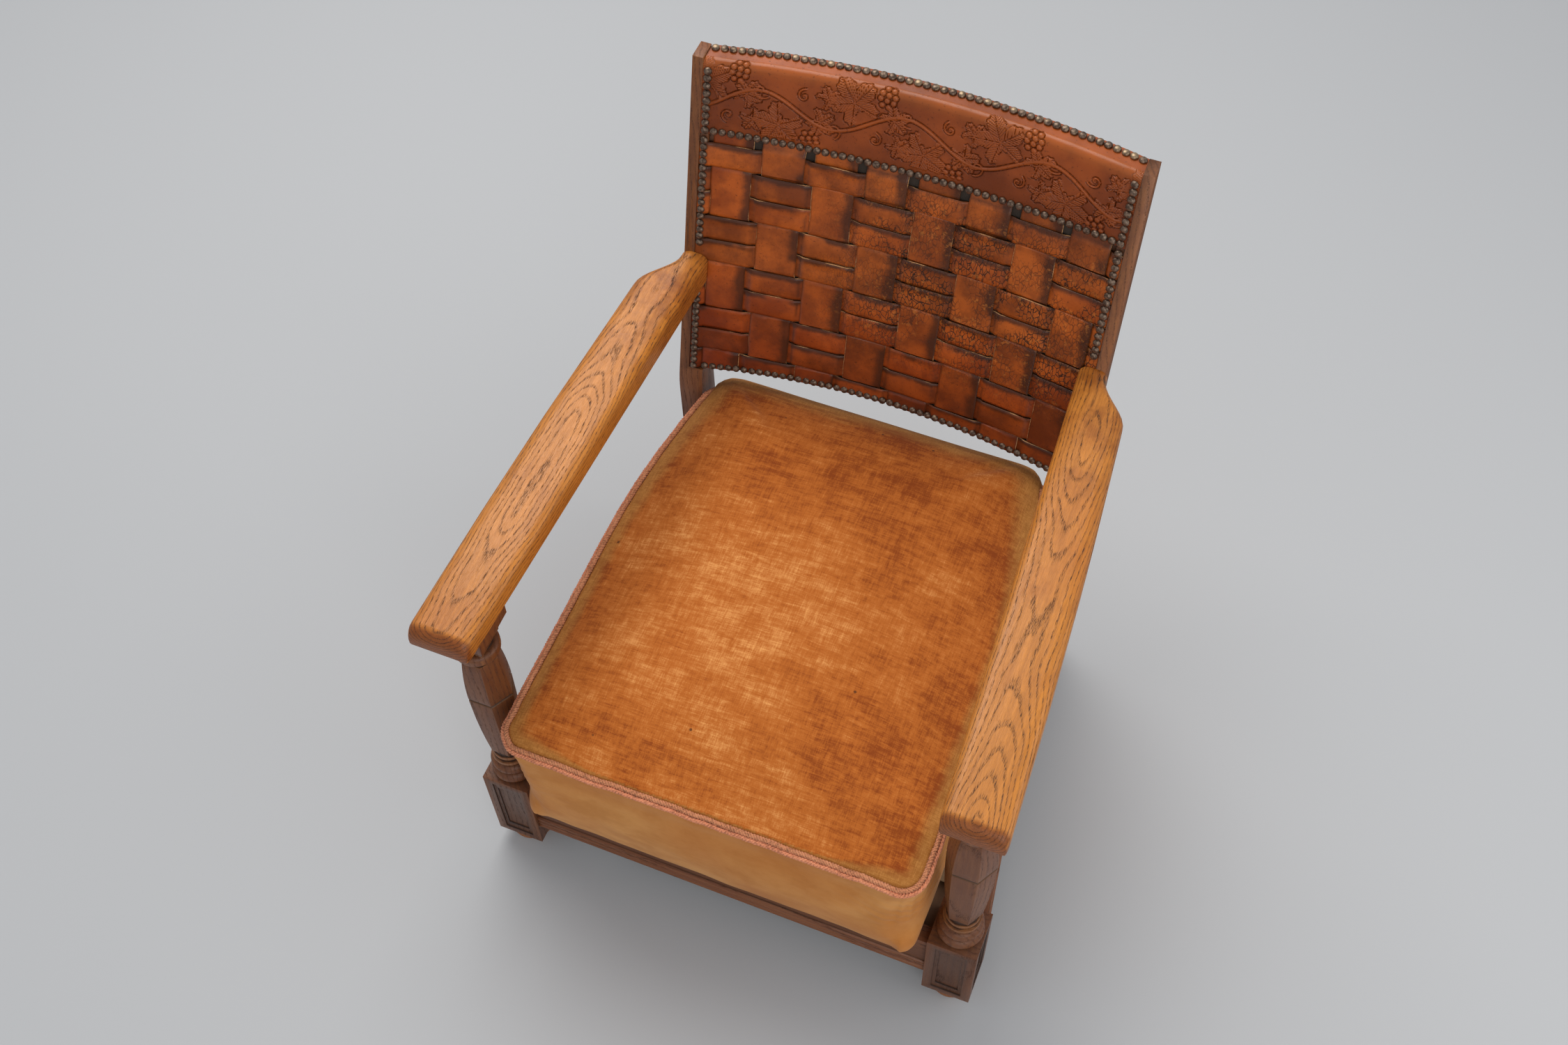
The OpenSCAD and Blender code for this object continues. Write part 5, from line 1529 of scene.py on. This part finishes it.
def build_stage():
    look = settings().stage
    scene = bpy.context.scene
    bm = bmesh.new()
    bmesh.ops.create_grid(bm, x_segments=2, y_segments=2, size=6)
    bmesh.ops.translate(bm, verts=bm.verts, vec=(0, 0, -0.0005))
    floor = new_piece("stage_floor", bm, floor_finish("Pale floor", look.floor_color))
    lights = [
        area_light("Window", (-1.1, 1.1, 3.2), 2.6, 76, (1.0, 0.98, 0.95)),
        area_light("Fill", (1.5, -2.6, 1.9), 2.4, 30, (1.0, 0.99, 0.97)),
        area_light("Side", (2.6, 0.2, 1.5), 2.0, 17, (1.0, 0.99, 0.97)),
    ]
    world = bpy.data.worlds.new("Studio")
    scene.world = world
    world.use_nodes = True
    background = world.node_tree.nodes["Background"]
    background.inputs["Color"].default_value = SKY
    background.inputs["Strength"].default_value = SKY_STRENGTH
    scene.view_settings.view_transform = "Standard"
    camera_data = bpy.data.cameras.new("Photo camera")
    camera_data.lens = look.lens
    camera_data.sensor_width = 36
    camera = bpy.data.objects.new("Photo camera", camera_data)
    scene.collection.objects.link(camera)
    back = Vector((
        math.sin(CAMERA_AZIMUTH) * math.cos(CAMERA_ELEVATION),
        -math.cos(CAMERA_AZIMUTH) * math.cos(CAMERA_ELEVATION),
        math.sin(CAMERA_ELEVATION)))
    right = Vector((math.cos(CAMERA_AZIMUTH), math.sin(CAMERA_AZIMUTH), 0.0))
    up = back.cross(right)
    rolled_right = right * math.cos(CAMERA_ROLL) + up * math.sin(CAMERA_ROLL)
    rolled_up = -right * math.sin(CAMERA_ROLL) + up * math.cos(CAMERA_ROLL)
    basis = Matrix((rolled_right, rolled_up, back)).transposed()
    camera.matrix_world = Matrix.Translation(CAMERA_PLACE) @ basis.to_4x4()
    scene.camera = camera


# Operators

class CHAIR_OT_front_legs(bpy.types.Operator):
    """Dress the turned front legs in dark oak"""
    bl_idname = "chair.front_legs"
    bl_label = "Front Legs"

    def execute(self, context):
        build_front_legs()
        return {"FINISHED"}


class CHAIR_OT_arms(bpy.types.Operator):
    """Dress the arms in honey oak"""
    bl_idname = "chair.arms"
    bl_label = "Arms"

    def execute(self, context):
        build_arms()
        return {"FINISHED"}


class CHAIR_OT_rear_legs(bpy.types.Operator):
    """Dress the rear legs"""
    bl_idname = "chair.rear_legs"
    bl_label = "Rear Legs"

    def execute(self, context):
        build_rear_legs()
        return {"FINISHED"}


class CHAIR_OT_rails(bpy.types.Operator):
    """Dress the seat rails, braces and back rails"""
    bl_idname = "chair.rails"
    bl_label = "Rails"

    def execute(self, context):
        build_rails()
        return {"FINISHED"}


class CHAIR_OT_straps(bpy.types.Operator):
    """Weave the back from level and upright leather straps"""
    bl_idname = "chair.straps"
    bl_label = "Woven Straps"

    def execute(self, context):
        build_level_straps()
        build_upright_straps()
        return {"FINISHED"}


class CHAIR_OT_back_sheets(bpy.types.Operator):
    """Line the back and cover its outside"""
    bl_idname = "chair.back_sheets"
    bl_label = "Lining and Outside Back"

    def execute(self, context):
        build_back_sheets()
        return {"FINISHED"}


class CHAIR_OT_crest(bpy.types.Operator):
    """Cover the crest with embossed leather"""
    bl_idname = "chair.crest"
    bl_label = "Embossed Crest"

    def execute(self, context):
        build_crest()
        return {"FINISHED"}


class CHAIR_OT_nails(bpy.types.Operator):
    """Set the domed nails"""
    bl_idname = "chair.nails"
    bl_label = "Nails"

    def execute(self, context):
        build_nails()
        return {"FINISHED"}


class CHAIR_OT_cushion(bpy.types.Operator):
    """Fill the velvet cushion and let it settle"""
    bl_idname = "chair.cushion"
    bl_label = "Cushion"

    def execute(self, context):
        build_cushion()
        return {"FINISHED"}


class CHAIR_OT_trim(bpy.types.Operator):
    """Lay the rope trim along the seam of the cushion"""
    bl_idname = "chair.trim"
    bl_label = "Rope Trim"

    def execute(self, context):
        build_trim()
        return {"FINISHED"}


class CHAIR_OT_seat(bpy.types.Operator):
    """Dress the seat webbing and the springs"""
    bl_idname = "chair.seat"
    bl_label = "Webbing and Springs"

    def execute(self, context):
        build_seat()
        return {"FINISHED"}


class CHAIR_OT_stage(bpy.types.Operator):
    """Set the floor, the lights and the camera of the photograph"""
    bl_idname = "chair.stage"
    bl_label = "Stage"

    def execute(self, context):
        build_stage()
        return {"FINISHED"}


OPERATORS = (
    CHAIR_OT_front_legs, CHAIR_OT_arms, CHAIR_OT_rear_legs, CHAIR_OT_rails, CHAIR_OT_straps,
    CHAIR_OT_back_sheets, CHAIR_OT_crest, CHAIR_OT_nails, CHAIR_OT_cushion, CHAIR_OT_trim,
    CHAIR_OT_seat, CHAIR_OT_stage,
)


class CHAIR_PT_panel(bpy.types.Panel):
    """Lists the pieces of the chair"""
    bl_label = "Lounge Chair"
    bl_idname = "CHAIR_PT_panel"
    bl_space_type = "VIEW_3D"
    bl_region_type = "UI"
    bl_category = "Chair"

    def draw(self, context):
        for kind in OPERATORS:
            self.layout.operator(kind.bl_idname)


CLASSES = (
    WoodSettings, LeatherSettings, CushionSettings, StageSettings, ChairSettings,
    *OPERATORS, CHAIR_PT_panel,
)


def register():
    for kind in CLASSES:
        bpy.utils.register_class(kind)
    bpy.types.Scene.lounge_chair = PointerProperty(type=ChairSettings)


def unregister():
    del bpy.types.Scene.lounge_chair
    for kind in reversed(CLASSES):
        bpy.utils.unregister_class(kind)


def main():
    register()
    for kind in OPERATORS:
        name = kind.bl_idname.split(".")[1]
        if getattr(bpy.ops.chair, name)() != {"FINISHED"}:
            raise RuntimeError(f"{kind.bl_label} did not finish")


if __name__ == "__main__":
    main()
